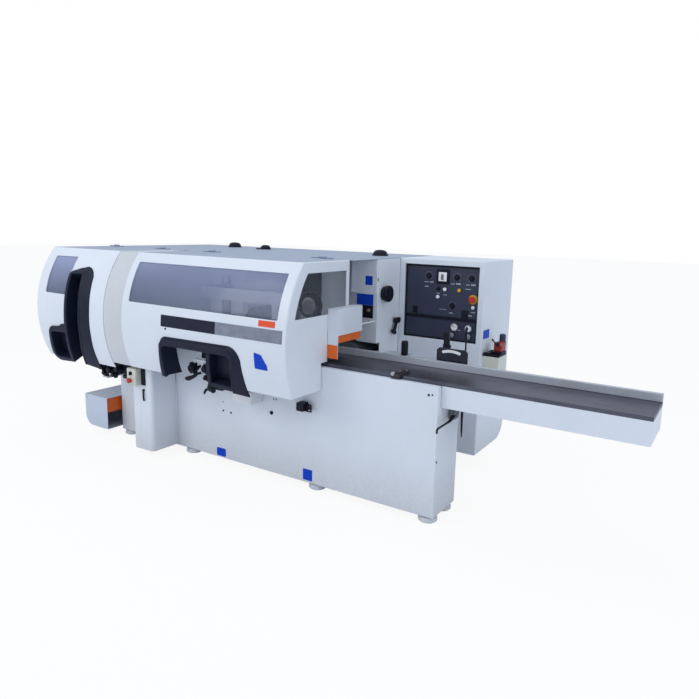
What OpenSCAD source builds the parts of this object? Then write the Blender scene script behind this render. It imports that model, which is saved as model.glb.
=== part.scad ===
// Four sided moulder: a woodworking floor machine that planes and profiles
// all four faces of a board in one pass. Millimetres.
// Built from the bed's infeed end and front face, then moved so that the
// origin is at the middle of the footprint on the floor.
// X runs along the feed to the infeed end, Y to the back, Z up.

/* [Overall] */
// table top above the floor
table_h = 860; // [840:1:900]
// roof above the table top
roof_up = 645; // [630:1:680]
// bed's front face to the back wall
body_d = 1500; // [1450:1:1600]
// thickness of the sheet panels
sheet_t = 4; // [2:0.5:6]
// clearance between parts that move past one another
run_gap = 1; // [0.6:0.1:1.5]
// how far each cut runs past the face it opens
cut_over = 6; // [2:1:10]
// gap left under a plate that lies on a curved panel
seat_gap = 1; // [0.6:0.1:1.5]
// gap round the tables where they pass through a hood's end
pass_gap = 6; // [4:1:10]
// radius of the pins and shafts that carry the small levers
pin_r = 5; // [3:0.5:7]
// radius of the shafts that carry the big levers and knobs
stub_r = 9; // [6:0.5:11]

/* [Bed] */
// length of the bed
bed_l = 2810; // [2760:1:2900]
// length of the bed outside the hood
infeed_bed_l = 813; // [780:1:860]
// depth of the bed at the infeed end
infeed_bed_d = 307; // [290:1:320]
// thickness of the bed's walls
bed_wall = 14; // [8:1:18]
// table top down to the bed's top edge
bed_drop = 21; // [16:1:28]
// width of the ledge along the infeed bed's front
ledge_w = 36; // [24:1:38]
// width of the flange inside the bed's bottom
flange_w = 110; // [90:1:130]
// thickness of the bed's flanges and plates
flange_t = 18; // [12:1:22]
// floor to the bed's underside
foot_h = 41; // [36:1:60]
// radius of a foot's pad
foot_r = 58; // [44:1:62]
// height of a foot's pad
foot_pad_h = 33; // [24:1:35]
// radius of a foot's stud
foot_stud_r = 14; // [8:1:18]
// foot centre in from the bed's outside
foot_in = 55; // [50:1:60]
// where the feet stand along the bed, from the infeed end
foot_shares = [0.02, 0.31, 0.724, 0.98];

/* [Tables] */
// infeed table past the end of the bed
table_reach = 1105; // [900:1:1200]
// table's front edge behind the bed's front face
table_front = 40; // [40:1:46]
// table's front edge to the fence
table_w = 319; // [300:1:330]
// thickness of the table plates
table_t = 22; // [16:1:26]
// how far the infeed table drops
table_drop = 10; // [6:1:12]
// height of the fence above the table
fence_h = 44; // [30:1:60]
// thickness of the fence
fence_t = 30; // [20:1:36]
// how far the fence moves back
fence_travel = 10; // [6:1:10]
// depth of the apron under the infeed table
apron_h = 150; // [110:1:160]
// radius of the posts that guide the infeed table
post_r = 30; // [20:1:36]
// length of the guide posts
post_l = 160; // [100:1:200]
// running fit of a post in the bed
post_fit = 0.1; // [0.05:0.01:0.3]
// where the guide posts stand along the infeed bed
post_shares = [0.2, 0.8];

/* [Hood] */
// length of the main hood
main_hood_l = 1472; // [1440:1:1520]
// length of the fixed band between the hoods
band_l = 205; // [180:1:230]
// length of the outfeed hood
outfeed_hood_l = 825; // [800:1:860]
// radius of the hood's curved front
hood_r = 784; // [774:1:800]
// centre of the curve behind the bed's front face
hood_back = 419; // [410:1:430]
// centre of the curve below the roof
hood_drop = 494; // [485:1:505]
// thickness of the hood's shell
hood_t = 6; // [3:0.5:8]
// height of the main hood
hood_h = 815; // [805:1:825]
// height of the outfeed hood
outfeed_hood_h = 855; // [835:1:865]
// hood's hinge line behind the bed's front face
hinge_back = 300; // [280:1:320]
// radius of the hinge barrels
hinge_r = 8; // [5:0.5:10]
// length of one hinge knuckle
knuckle_l = 60; // [30:1:80]
// width of a hinge leaf
leaf_w = 34; // [20:1:44]
// thickness of a hinge leaf
leaf_t = 4; // [2:0.5:5]
// where the hinges stand along each hood
hinge_shares = [0.15, 0.85];
// how far the middle band is set in from the hoods
band_in = 4; // [2:0.5:8]
// thickness of the middle band
band_t = 16; // [8:1:24]

/* [Windows] */
// upper edge of the hood windows below the roof
window_drop = 67; // [55:1:85]
// height of the hood windows
window_h = 268; // [240:1:285]
// main window's margin at each end of the hood
window_side = 70; // [50:1:100]
// thickness of the panes
pane_t = 5; // [3:0.5:8]
// pane's overlap behind the window's edge
pane_lap = 22; // [10:1:28]
// back edge of the end window behind the bed's front face
end_window_back = 265; // [250:1:270]
// front edge of the end window in from the hood's front
end_window_in = 72; // [60:1:90]
// outfeed window's left margin
outfeed_window_side = 112; // [90:1:130]
// width of the outfeed window
outfeed_window_w = 225; // [200:1:228]

/* [Shrouds] */
// how far the black shrouds stand out of the hood
rim_d = 24; // [14:1:30]
// how far the shrouds reach inside the hood
shroud_in = 70; // [40:1:90]
// width of the shrouds' rims
rim_w = 52; // [30:1:60]
// width of a shroud's lip that passes through the hood
lip_w = 24; // [12:1:28]
// main shroud's right side in from the hood's end
shroud_right = 360; // [340:1:380]
// width of the main shroud
shroud_w = 745; // [700:1:760]
// top of the main shroud above the hood's lower edge
shroud_h = 282; // [260:1:300]
// outfeed shroud's right side in from the hood's end
slot_right = 160; // [150:1:180]
// width of the tall slot's surround
slot_w = 310; // [290:1:320]
// top of the tall slot's surround below the roof
slot_drop = 130; // [115:1:145]
// width of the tall slot
slot_open_w = 147; // [120:1:170]
// width of the lower lobe beside the slot
lobe_w = 235; // [200:1:250]
// top of the lower lobe above the outfeed hood's lower edge
lobe_h = 285; // [270:1:300]
// shrouds' lower edge below the hood's
shroud_drop = 20; // [10:1:26]

/* [Rear housing] */
// infeed end of the rear housing in from the bed's end
wall_in = 773; // [763:1:778]
// front of the end wall behind the bed's front face
wall_front = 649; // [630:1:660]
// lower edge of the back wall
back_low = 121; // [100:1:140]
// inner wall behind the infeed opening, in from the bed's end
inner_in = 1040; // [1000:1:1060]
// lower edge of the inner wall above the table
inner_up = 250; // [230:1:270]
// width of the post in front of the end wall
post_box_w = 168; // [150:1:190]
// depth of the post
post_box_d = 49; // [40:1:55]
// lower end of the post above the table
post_box_up = 50; // [45:1:70]
// width of the head box on the post
head_box_w = 211; // [195:1:225]
// depth of the head box
head_box_d = 60; // [56:1:75]
// height of the head box
head_box_h = 245; // [215:1:265]
// width of one louvre in the back wall
louvre_w = 240; // [180:1:260]
// height of one louvre
louvre_h = 9; // [5:1:12]
// spacing of the louvres
louvre_step = 26; // [22:1:30]
// louvres in one group
louvre_count = 6; // [3:1:8]
// where the louvre groups stand along the back wall
louvre_shares = [0.2, 0.45, 0.7];
// radius of the extraction caps on the roof
cap_r = 62; // [50:1:75]
// height of a cap's straight side
cap_side_h = 18; // [10:1:26]
// height of a cap's dome
cap_dome_h = 26; // [15:1:34]
// caps in from the bed's infeed end
cap_in = [1030, 2280, 2708];
// caps behind the bed's front face
cap_back = [1062, 1118, 1229];

/* [Control cabinet] */
// cabinet's outer side in from the bed's end
cabinet_in = 116; // [100:1:130]
// cabinet's front behind the bed's front face
cabinet_front = 920; // [910:1:930]
// floor to the cabinet's underside
cabinet_low = 121; // [100:1:140]
// where the cabinet's second foot stands along it
cabinet_foot_share = 0.4; // [0.35:0.01:0.45]
// panel opening in from each side of the cabinet
panel_side = 40; // [34:1:46]
// upper edge of the panel opening below the roof
panel_drop = 39; // [35:1:55]
// height of the panel opening
panel_h = 535; // [525:1:546]
// depth of the frame round the panel
frame_d = 22; // [12:1:30]
// frame round the opening behind the front sheet
frame_w = 12; // [10:1:16]
// thickness of the control panel
panel_t = 5; // [3:0.5:8]
// radius of the rounded corner at the cabinet's foot
cabinet_corner_r = 150; // [100:1:180]
// radius of the dials' knobs
dial_r = 20; // [14:1:22]
// height of the dials' knobs
dial_h = 20; // [14:1:26]
// length of the bar across a dial
bar_share = 0.9; // [0.6:0.05:0.95]
// dials in from the cabinet's outer side
dial_in = [432, 214, 104];
// dials above the panel's lower edge
dial_up = 455; // [440:1:470]
// width of the square display
display_w = 62; // [50:1:70]
// display in from the cabinet's outer side
display_in = 321; // [310:1:330]
// thickness of the display
display_t = 10; // [5:1:14]
// radius of the push buttons
button_r = 13; // [9:1:15]
// width of the collar round a button
collar_w = 4; // [2:0.5:5]
// height of a collar
collar_h = 7; // [5:1:9]
// button's travel
button_travel = 4; // [2:0.5:4]
// height of a button
button_h = 12; // [10:1:16]
// white start button in from the cabinet's outer side
start_in = 299; // [290:1:310]
// start button above the panel's lower edge
start_up = 366; // [355:1:375]
// white jog button in from the cabinet's outer side
jog_in = 351; // [345:1:355]
// jog button above the panel's lower edge
jog_up = 309; // [300:1:315]
// yellow button in from the cabinet's outer side
yellow_in = 189; // [180:1:200]
// emergency stop in from the cabinet's outer side
stop_in = 86; // [75:1:95]
// emergency stop above the panel's lower edge
stop_up = 308; // [300:1:320]
// radius of the emergency stop's head
stop_r = 24; // [18:1:28]
// height of the emergency stop's head
stop_h = 16; // [10:1:20]
// mode selector in from the cabinet's outer side
mode_in = 239; // [230:1:250]
// mode selector above the panel's lower edge
mode_up = 252; // [245:1:262]
// radius of the gauges
gauge_r = 29; // [20:1:32]
// depth of the gauges
gauge_d = 18; // [10:1:26]
// gauges in from the cabinet's outer side
gauge_in = [211, 105];
// gauges above the panel's lower edge
gauge_up = 103; // [98:1:108]
// radius of the regulator knobs
regulator_r = 17; // [12:1:20]
// regulator knobs above the panel's lower edge
regulator_up = 44; // [36:1:50]

/* [End wall fittings] */
// radius of the big knob
knob_r = 58; // [45:1:64]
// depth of the big knob
knob_d = 54; // [40:1:62]
// big knob behind the bed's front face
knob_back = 688; // [680:1:700]
// big knob above the table
knob_over = 399; // [380:1:420]
// wall lever's pivot behind the bed's front face
wall_lever_back = 857; // [845:1:870]
// wall lever's pivot above the table
wall_lever_over = 190; // [175:1:205]
// radius of the wall lever's hub
wall_hub_r = 20; // [14:1:26]
// depth of the wall lever's hub
wall_hub_d = 42; // [30:1:50]
// length of the wall lever
wall_lever_l = 96; // [85:1:110]
// width of the wall lever
wall_lever_w = 28; // [18:1:32]
// thickness of the wall lever
wall_lever_t = 14; // [8:1:20]
// wall lever's lean from upright
wall_lever_lean = 26; // [15:1:32]

/* [Infeed guard] */
// guard's length along the feed
guard_l = 78; // [60:1:100]
// guard's front side behind the bed's front face
guard_front = 60; // [54:1:66]
// guard's width
guard_w = 285; // [270:1:295]
// lower edge of the guard above the table
guard_up = 180; // [170:1:190]
// height of the guard
guard_h = 168; // [150:1:190]
// lower edge of the guard's front skirt above the table
skirt_clear = 30; // [20:1:50]
// lower edge of the flap above the table
flap_clear = 130; // [110:1:140]
// thickness of the flap
flap_t = 4; // [2:0.5:5]
// radius of the flap's hinge rod
flap_rod_r = 5; // [3:0.5:6]
// flap's hinge above the guard's lower edge
flap_up = 34; // [20:1:44]

/* [Service box] */
// service box's left side in from the bed's end
service_in = 2357; // [2340:1:2370]
// width of the service box
service_w = 201; // [190:1:215]
// depth of the service box
service_d = 234; // [220:1:240]
// floor to the service box's underside
service_low = 49; // [42:1:60]
// top of the service box above the main hood's lower edge
service_over = 35; // [0:1:50]
// width of the door's front leaf
door_front_w = 92; // [70:1:120]
// door's top below the service box's top
door_drop = 195; // [182:1:210]
// radius of the door's hinge barrels
door_hinge_r = 5; // [3:0.5:6]
// how far the hinge pins reach into the door's barrels
door_pin_l = 40; // [20:1:60]
// length of the door's handle
handle_l = 84; // [60:1:100]
// width of the door's handle
handle_w = 16; // [10:1:20]
// handle's stand-off from the door
handle_d = 16; // [10:1:24]
// width of the switch box
switch_w = 98; // [80:1:104]
// depth of the switch box
switch_d = 52; // [40:1:60]
// lower edge of the switch box below the service box's top
switch_drop = 180; // [173:1:185]
// height of the switch box
switch_h = 124; // [118:1:130]
// mushroom stop up the switch box
stop_share = 0.3; // [0.25:0.01:0.35]
// selector up the switch box
selector_share = 0.72; // [0.68:0.01:0.8]
// radius of the mushroom stop
mushroom_r = 19; // [14:1:22]
// radius of the switch's selector
selector_r = 14; // [9:1:18]

/* [End guard] */
// length of the end guard, past the bed's end
end_guard_past = 280; // [260:1:300]
// end guard's front in front of the bed
end_guard_d = 140; // [120:1:150]
// end guard's back behind the bed's front
end_guard_back = 300; // [250:1:340]
// floor to the end guard's underside
end_guard_low = 67; // [55:1:80]
// height of the end guard
end_guard_h = 258; // [240:1:280]
// radius of the end guard's rounded lower corner
end_guard_r = 90; // [60:1:110]
// baffle in the end guard, in from the bed's end
baffle_in = 30; // [20:1:45]
// how far down the end guard its baffle hangs
baffle_share = 0.5; // [0.4:0.05:0.6]

/* [Lubricant] */
// length of the tank
tank_l = 122; // [110:1:140]
// width of the tank
tank_w = 150; // [130:1:170]
// tank's front behind the cabinet's front
tank_back = 40; // [20:1:60]
// lower edge of the tank
tank_low = 560; // [480:1:600]
// top of the tank
tank_top = 850; // [820:1:870]
// thickness of the tank's lid
lid_t = 14; // [8:1:20]
// radius of the pump
pump_r = 24; // [18:1:30]
// height of the pump
pump_h = 92; // [70:1:110]
// radius of the pump lever's hub
pump_hub_r = 12; // [10:0.5:14]
// length of the pump's lever
pump_lever_l = 120; // [90:1:140]
// radius of the pump's lever
pump_lever_r = 6; // [4:0.5:8]

// where the pump stands along the tank
pump_share = 0.78; // [0.7:0.01:0.8]
// lever's pivot up the pump
pump_pivot_share = 0.8; // [0.6:0.01:0.85]

/* [Infeed levers] */
// lever plate in from the bed's end
plate_in = 4; // [2:1:20]
// width of the lever plate
plate_w = 210; // [190:1:220]
// lever plate behind the fence's travel
plate_back = 14; // [8:1:20]
// thickness of the lever plate
plate_t = 8; // [5:0.5:10]
// top of the lever plate above the table
plate_up = 100; // [90:1:110]
// where the depth lever stands along its plate
depth_share = 0.3; // [0.25:0.01:0.4]
// length of the depth lever
depth_lever_l = 270; // [220:1:300]
// width of the depth lever
depth_lever_w = 20; // [14:1:26]
// thickness of the depth lever
depth_lever_t = 10; // [6:1:14]
// depth of the depth lever's hub
depth_hub_d = 20; // [16:1:30]
// radius of the depth lever's grip
depth_grip_r = 17; // [12:1:20]
// length of the depth lever's grip
depth_grip_l = 100; // [70:1:120]
// radius of the rod lever
rod_r = 6; // [4:0.5:8]
// radius of the rod lever's hub
rod_hub_r = 12; // [9:0.5:14]
// depth of the rod lever's hub
rod_hub_d = 24; // [18:1:30]
// length of the rod lever
rod_l = 240; // [200:1:280]
// fence grip in from the bed's end
grip_in = 423; // [400:1:450]
// radius of the fence grip
grip_r = 23; // [18:1:26]
// height of the fence grip
grip_h = 96; // [70:1:110]
// length of the plate beside the fence grip
grip_plate_l = 150; // [120:1:170]
// plate of the fence grip behind the fence
grip_plate_d = 70; // [50:1:80]
// presser in from the bed's end
presser_in = 290; // [270:1:310]
// width of the presser
presser_w = 70; // [50:1:80]
// reach of the presser over the table
presser_reach = 105; // [80:1:130]
// height of the presser
presser_h = 22; // [14:1:30]
// presser's travel
presser_travel = 40; // [20:1:60]
// radius of the lift lever's drum
drum_r = 44; // [34:1:50]
// length of the drum
drum_l = 40; // [28:1:50]
// drum behind the bed's front face
drum_back = 190; // [180:1:200]
// drum below the table top
drum_under = 215; // [205:1:240]
// length of the lift lever
lift_l = 255; // [220:1:270]
// radius of the lift lever
lift_r = 9; // [6:0.5:12]
// lift lever's fall from level
lift_fall = 8; // [4:1:14]

/* [Bed front fittings] */
// adjuster block's left end in from the bed's end
block_in = 1760; // [1740:1:1780]
// length of the adjuster block
block_l = 450; // [420:1:470]
// depth of the adjuster block
block_d = 120; // [90:1:130]
// lower edge of the adjuster block below the table top
block_under = 330; // [315:1:340]
// height of the adjuster block
block_h = 90; // [80:1:110]
// radius of the adjuster knobs
adjuster_r = 22; // [15:1:26]
// length of the adjuster knobs
adjuster_l = 46; // [30:1:60]
// radius of the adjuster shafts
shaft_r = 10; // [6:0.5:12]
// adjuster knobs' front before the bed
adjuster_reach = 215; // [190:1:225]
// adjusters in from the bed's end
adjuster_in = [1700, 1585, 2580, 2680];
// adjusters below the table top
adjuster_under = [120, 170, 250, 250];
// interlock switch in from the bed's end
interlock_in = 982; // [960:1:1000]
// width of the interlock switch
interlock_w = 116; // [90:1:130]
// height of the interlock switch
interlock_h = 60; // [45:1:75]
// depth of the interlock switch
interlock_d = 62; // [40:1:80]
// lower edge of the interlock switch below the table top
interlock_under = 324; // [300:1:340]

/* [Feed and cutters] */
// setting of the feed above the table
stock_h = 60; // [40:1:70]
// radius of the cutterheads
cutter_r = 60; // [50:1:62]
// length of the horizontal cutterheads
cutter_l = 230; // [200:1:240]
// height of the vertical cutterheads
side_cutter_h = 110; // [80:1:120]
// radius of a spindle's nose
nose_r = 20; // [12:1:26]
// radius of a spindle's housing
housing_r = 45; // [36:1:50]
// length of a spindle's housing
housing_l = 240; // [200:1:260]
// radius of a spindle motor
motor_r = 92; // [80:1:98]
// length of a spindle motor
motor_l = 280; // [220:1:300]
// width of the knife slots
knife_w = 14; // [8:1:18]
// first bottom cutterhead in from the bed's end
bottom_in = 1010; // [1000:1:1014]
// right cutterhead in from the bed's end
right_in = 1235; // [1220:1:1250]
// left cutterhead in from the bed's end
left_in = 1560; // [1540:1:1580]
// top cutterhead in from the bed's end
top_in = 1900; // [1880:1:1920]
// second bottom cutterhead in from the bed's end
second_in = 2330; // [2310:1:2350]
// gap in the table each side of a bottom cutterhead
table_gap = 8; // [4:1:10]
// width the side cutterheads are set for
stock_w = 150; // [140:1:170]
// radius of the feed rollers
roller_r = 70; // [55:1:75]
// width of the feed rollers
roller_w = 50; // [35:1:60]
// rollers in from the bed's end
roller_in = [1115, 1400, 1725];
// radius of a roller's axle
axle_r = 12; // [8:1:16]
// running fit of the axles and spindles
axle_fit = 0.06; // [0.03:0.01:0.1]
// roller's front behind the table's front edge
roller_back = 150; // [130:1:160]
// width of a roller's arm
arm_w = 56; // [40:1:64]
// thickness of a roller's arm
arm_t = 22; // [14:1:28]
// height of the feed beam
beam_h = 90; // [70:1:110]
// depth of the feed beam
beam_d = 110; // [90:1:130]
// feed beam's underside above the rollers' axles
beam_up = 170; // [140:1:190]
// feed beam's travel up from the setting
beam_travel = 50; // [30:1:60]
// radius of the columns that carry the beam
column_r = 34; // [26:1:40]
// columns in from the bed's end
column_in = [1330, 2060];
// running fit of the beam on its columns
column_fit = 0.1; // [0.05:0.01:0.3]
// wall of the beam's bosses
boss_wall = 20; // [14:1:26]

/* [Plates] */
// thickness of the label plates
label_t = 1; // [0.5:0.1:2]
// left end of the grey strip in from the hood's end
strip_in = 1062; // [1040:1:1080]
// right end of the strip in from the hood's end
strip_right = 26; // [16:1:40]
// lower edge of the strip below the windows
strip_under = 135; // [125:1:145]
// height of the strip
strip_h = 78; // [60:1:84]

/* [Hidden] */
$fn = 72;
roof_h = table_h + roof_up;
hood_up = roof_h - hood_drop;
hood_low = roof_h - hood_h;
outfeed_hood_low = roof_h - outfeed_hood_h;
window_top = roof_h - window_drop;
window_low = window_top - window_h;
shroud_top = hood_low + shroud_h;
slot_top = roof_h - slot_drop;
lobe_top = outfeed_hood_low + lobe_h;
inner_low = table_h + inner_up;
post_box_low = table_h + post_box_up;
head_box_low = roof_h - head_box_h;
panel_top = roof_h - panel_drop;
panel_low = panel_top - panel_h;
knob_up = table_h + knob_over;
wall_lever_up = table_h + wall_lever_over;
guard_low = table_h + guard_up;
guard_top = guard_low + guard_h;
service_top = hood_low + service_over;
door_top = service_top - door_drop;
switch_low = service_top - switch_drop;
drum_up = table_h - drum_under;
block_low = table_h - block_under;
interlock_low = table_h - interlock_under;
strip_low = window_low - strip_under;
x_end = -infeed_bed_l;
x_main = x_end - main_hood_l;
x_band = x_main - band_l;
x_out = x_band - outfeed_hood_l;
x_wall = -wall_in;
x_side = -cabinet_in;
bed_top = table_h - bed_drop;
plate_low = table_h - table_t;
table_back = table_front + table_w;
fence_back = table_back + fence_t;
cabinet_foot_y = body_d - cabinet_corner_r - foot_r;
rail_y = fence_back - bed_wall;
infeed_top = plate_low - table_drop - run_gap - run_gap;
front_y = hood_back - hood_r - rim_d;
mid_x = (x_out + table_reach) / 2;
mid_y = (front_y + body_d) / 2;
hinge_y = hinge_back + run_gap / 2;
hinge_z = roof_h + hinge_r + run_gap / 2;
roof_front = hinge_back + run_gap;
panel_y = cabinet_front + sheet_t + frame_d;
opening_x0 = x_wall + panel_side;
opening_x1 = x_side - panel_side;
axle_z = table_h + stock_h + roller_r;
beam_low = axle_z + beam_up;
roller_y0 = table_front + roller_back;
roller_y1 = roller_y0 + roller_w;
arm_y0 = roller_y1 + run_gap;
arm_y1 = arm_y0 + arm_t;
cutter_y0 = table_back - cutter_l;
bottom_z = table_h - cutter_r;
top_z = table_h + stock_h + cutter_r;
housing_y0 = table_back + run_gap;
housing_y1 = housing_y0 + housing_l;
side_z0 = plate_low - table_t;
right_y = table_back + cutter_r;
left_y = table_back - stock_w - cutter_r;
column_y = fence_back + column_r + boss_wall + run_gap;
lever_y0 = fence_back + fence_travel + plate_back;
lever_y1 = lever_y0 + plate_t;
plate_x1 = -plate_in;
plate_x0 = plate_x1 - plate_w;
depth_x = plate_x0 + plate_w * depth_share;
rod_x = plate_x1 - rod_hub_d;
depth_z = table_h - apron_h / 3;
guard_x0 = x_end + run_gap;
guard_x1 = guard_x0 + guard_l;
flap_z = guard_low + flap_up;
flap_low = table_h + flap_clear;
flap_x = guard_x1 - sheet_t - flap_rod_r - run_gap;
service_x0 = -service_in;
service_x1 = service_x0 + service_w;
door_x = service_x1 + door_hinge_r;
door_y = -door_hinge_r - run_gap - run_gap;
handle_x = service_x1 - door_front_w + handle_w;
handle_z = door_top - handle_l / 4;
switch_x0 = service_x0 + sheet_t;
switch_y0 = -service_d - switch_d;
drum_x1 = drum_l;
pump_x = x_side + tank_l * pump_share;
pump_y = cabinet_front + tank_back + tank_w / 2;
pump_z = tank_top + lid_t + pump_h * pump_pivot_share;
pump_lever_y = pump_y - pump_r - run_gap - pump_hub_r;
end_x0 = -bed_l - end_guard_past;
end_guard_top = end_guard_low + end_guard_h;
grip_y = (table_back + fence_back) / 2;
x_shroud = x_end - shroud_right - shroud_w;
x_slot = x_band - slot_right - slot_w + lip_w;
x_lobe = x_slot - lip_w - lobe_w;

module place() {
    translate([-mid_x, -mid_y, 0]) children();
}

module block(x0, x1, y0, y1, z0, z1) {
    translate([x0, y0, z0]) cube([x1 - x0, y1 - y0, z1 - z0]);
}

module rod_x(x0, x1, y, z, r) {
    translate([x0, y, z]) rotate([0, 90, 0]) cylinder(r = r, h = x1 - x0);
}

module rod_y(x, y0, y1, z, r) {
    translate([x, y1, z]) rotate([90, 0, 0]) cylinder(r = r, h = y1 - y0);
}

module rod_z(x, y, z0, z1, r) {
    translate([x, y, z0]) cylinder(r = r, h = z1 - z0);
}

// a flat shape drawn in Y and Z, run along X
module along(x0, x1) {
    translate([x0, 0, 0]) rotate([90, 0, 90]) linear_extrude(x1 - x0) children();
}

module between(y0, y1, z0, z1) {
    translate([y0, z0]) square([y1 - y0, z1 - z0]);
}

// everything inside the hood's curve at a distance in from its face
module hood_inside(in, z0, z1, y1) {
    intersection() {
        translate([hood_back, hood_up]) circle(r = hood_r - in);
        between(hood_back - hood_r - rim_d, y1, z0, z1);
    }
}

// a curved strip between two distances in from the hood's face
module hood_strip(in0, in1, z0, z1) {
    intersection() {
        difference() {
            translate([hood_back, hood_up]) circle(r = hood_r - in0);
            translate([hood_back, hood_up]) circle(r = hood_r - in1);
        }
        between(hood_back - hood_r - rim_d, hood_back - hood_r / 2, z0, z1);
    }
}

module shell(x0, x1, low) {
    along(x0, x1) difference() {
        hood_inside(0, low, roof_h, hinge_back);
        hood_inside(hood_t, low - cut_over, roof_h - hood_t, hinge_back + cut_over);
    }
}

module hinge_knuckles(x0, l) {
    for (s = hinge_shares) {
        for (side = [0, 2]) {
            rod_x(x0 + l * s + (knuckle_l + run_gap) * (side - 1) - knuckle_l / 2,
                x0 + l * s + (knuckle_l + run_gap) * (side - 1) + knuckle_l / 2,
                hinge_y, hinge_z, hinge_r);
            block(x0 + l * s + (knuckle_l + run_gap) * (side - 1) - knuckle_l / 2,
                x0 + l * s + (knuckle_l + run_gap) * (side - 1) + knuckle_l / 2,
                hinge_back - leaf_w, hinge_back, roof_h - hood_t / 2, roof_h + leaf_t);
        }
    }
}

module fixed_knuckles(x0, l) {
    for (s = hinge_shares) {
        rod_x(x0 + l * s - knuckle_l / 2, x0 + l * s + knuckle_l / 2,
            hinge_y, hinge_z, hinge_r);
        block(x0 + l * s - knuckle_l / 2, x0 + l * s + knuckle_l / 2,
            roof_front, roof_front + leaf_w, roof_h - sheet_t / 2, roof_h + leaf_t);
    }
}

module tub(x0, x1, y1, z1) {
    difference() {
        block(x0, x1, 0, y1, foot_h, z1);
        block(x0 + bed_wall, x1 - bed_wall, bed_wall, y1 - bed_wall,
            foot_h + flange_t, z1 + cut_over);
        block(x0 + flange_w, x1 - flange_w, flange_w, y1 - flange_w,
            foot_h - cut_over, z1);
    }
}

module bed_frame() {
    color("gainsboro") place() difference() {
        union() {
            tub(-bed_l, x_end, body_d - sheet_t, plate_low);
            tub(x_end - bed_wall, 0, infeed_bed_d, infeed_top);
            block(-bed_l, 0, 0, bed_wall, plate_low - flange_t, bed_top);
            block(x_end, 0, 0, ledge_w, infeed_top - flange_t, bed_top);
            block(x_end, 0, 0, infeed_bed_d, infeed_top - flange_t, infeed_top);
            block(-bed_l, x_end, 0, table_front + flange_t, plate_low - flange_t, plate_low);
            block(-bed_l, x_end, rail_y, fence_back, foot_h, plate_low);
            for (x = [column_in[0], column_in[1], top_in]) {
                block(-x - flange_w / 2, -x + flange_w / 2, rail_y,
                    column_y + flange_w / 2, plate_low - flange_w, plate_low);
            }
        }
        block(x_end - bed_wall - cut_over, x_end + cut_over, bed_wall,
            infeed_bed_d - bed_wall, foot_h + flange_t, infeed_top - flange_t);
        for (s = post_shares) {
            rod_z(x_end * s, table_front + table_w / 2, foot_h,
                infeed_top + cut_over, post_r + post_fit);
        }
        rod_x(-bed_wall - cut_over, cut_over, drum_back, drum_up, stub_r + axle_fit);
        for (x = [bottom_in, second_in]) {
            rod_y(-x, housing_y0, housing_y1, bottom_z, housing_r);
        }
        block(-bottom_in, x_end + cut_over, table_front - run_gap * 2, fence_back + run_gap * 2,
            infeed_top, plate_low + cut_over);
        rod_z(-right_in, right_y, side_z0 - housing_l, side_z0, housing_r);
        rod_z(-right_in, right_y, side_z0, table_h, cutter_r + table_gap);
        rod_z(-right_in, right_y, side_z0 - housing_l - motor_l, side_z0 - housing_l, motor_r);
    }
}

module foot(x, y, z1) {
    rod_z(x, y, 0, foot_pad_h, foot_r);
    rod_z(x, y, foot_pad_h, z1, foot_stud_r);
}

module levelling_feet() {
    color("silver") place() {
        for (s = foot_shares) {
            foot(-bed_l * s, foot_in, foot_h);
        }
        foot(-bed_l * foot_shares[0], infeed_bed_d - foot_in, foot_h);
        foot(-bed_l * foot_shares[1], body_d - sheet_t - foot_in, foot_h);
        foot(-bed_l * foot_shares[3], body_d - sheet_t - foot_in, foot_h);
        foot(x_wall + (x_side - x_wall) * cabinet_foot_share, cabinet_foot_y, cabinet_low);
        foot(x_wall + foot_r, cabinet_foot_y, cabinet_low);
    }
}

module machine_table() {
    color("dimgray") place() difference() {
        union() {
            block(-second_in + cutter_r + table_gap, -bottom_in - cutter_r - table_gap,
                table_front, fence_back, plate_low, table_h);
            block(x_out + hood_t + run_gap, -second_in - cutter_r - table_gap,
                table_front, fence_back, plate_low, table_h);
            block(-second_in + cutter_r + table_gap, -bottom_in - cutter_r - table_gap,
                table_back, fence_back, table_h, table_h + fence_h);
            block(x_out + hood_t + run_gap, -second_in - cutter_r - table_gap,
                table_back, fence_back, table_h, table_h + fence_h);
        }
        rod_z(-right_in, right_y, plate_low - cut_over, table_h + fence_h + cut_over,
            cutter_r + table_gap);
        rod_z(-left_in, left_y, plate_low - cut_over, table_h + cut_over, cutter_r + table_gap);
    }
}

module infeed_table() {
    color("slategray") place() {
        block(-bottom_in + cutter_r + table_gap, table_reach, table_front, fence_back,
            plate_low, table_h);
        for (s = post_shares) {
            rod_z(x_end * s, table_front + table_w / 2, plate_low - post_l, plate_low, post_r);
        }
    }
}

module table_apron() {
    color("whitesmoke") place() difference() {
        block(run_gap, table_reach, table_front, fence_back, table_h - apron_h, plate_low);
        block(run_gap + sheet_t, table_reach - sheet_t, table_front + sheet_t,
            fence_back - sheet_t, table_h - apron_h - cut_over, plate_low - sheet_t);
    }
}

module infeed_fence() {
    color("gray") place() difference() {
        union() {
            block(-bottom_in + cutter_r + table_gap, table_reach, table_back,
                fence_back - run_gap, table_h + run_gap / 2, table_h + fence_h);
            block(-grip_in - grip_plate_l, -grip_in + grip_r, table_back,
                fence_back + grip_plate_d, table_h + fence_h, table_h + fence_h + sheet_t);
        }
        rod_z(-grip_in, grip_y, table_h + fence_h / 2 - run_gap,
            table_h + fence_h + sheet_t + cut_over, pin_r + axle_fit);
    }
}

module fence_grip() {
    color("black") place() {
        rod_z(-grip_in, grip_y, table_h + fence_h + sheet_t + run_gap,
            table_h + fence_h + sheet_t + grip_h, grip_r);
        rod_z(-grip_in, grip_y, table_h + fence_h / 2,
            table_h + fence_h + sheet_t + run_gap, pin_r);
    }
}

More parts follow.
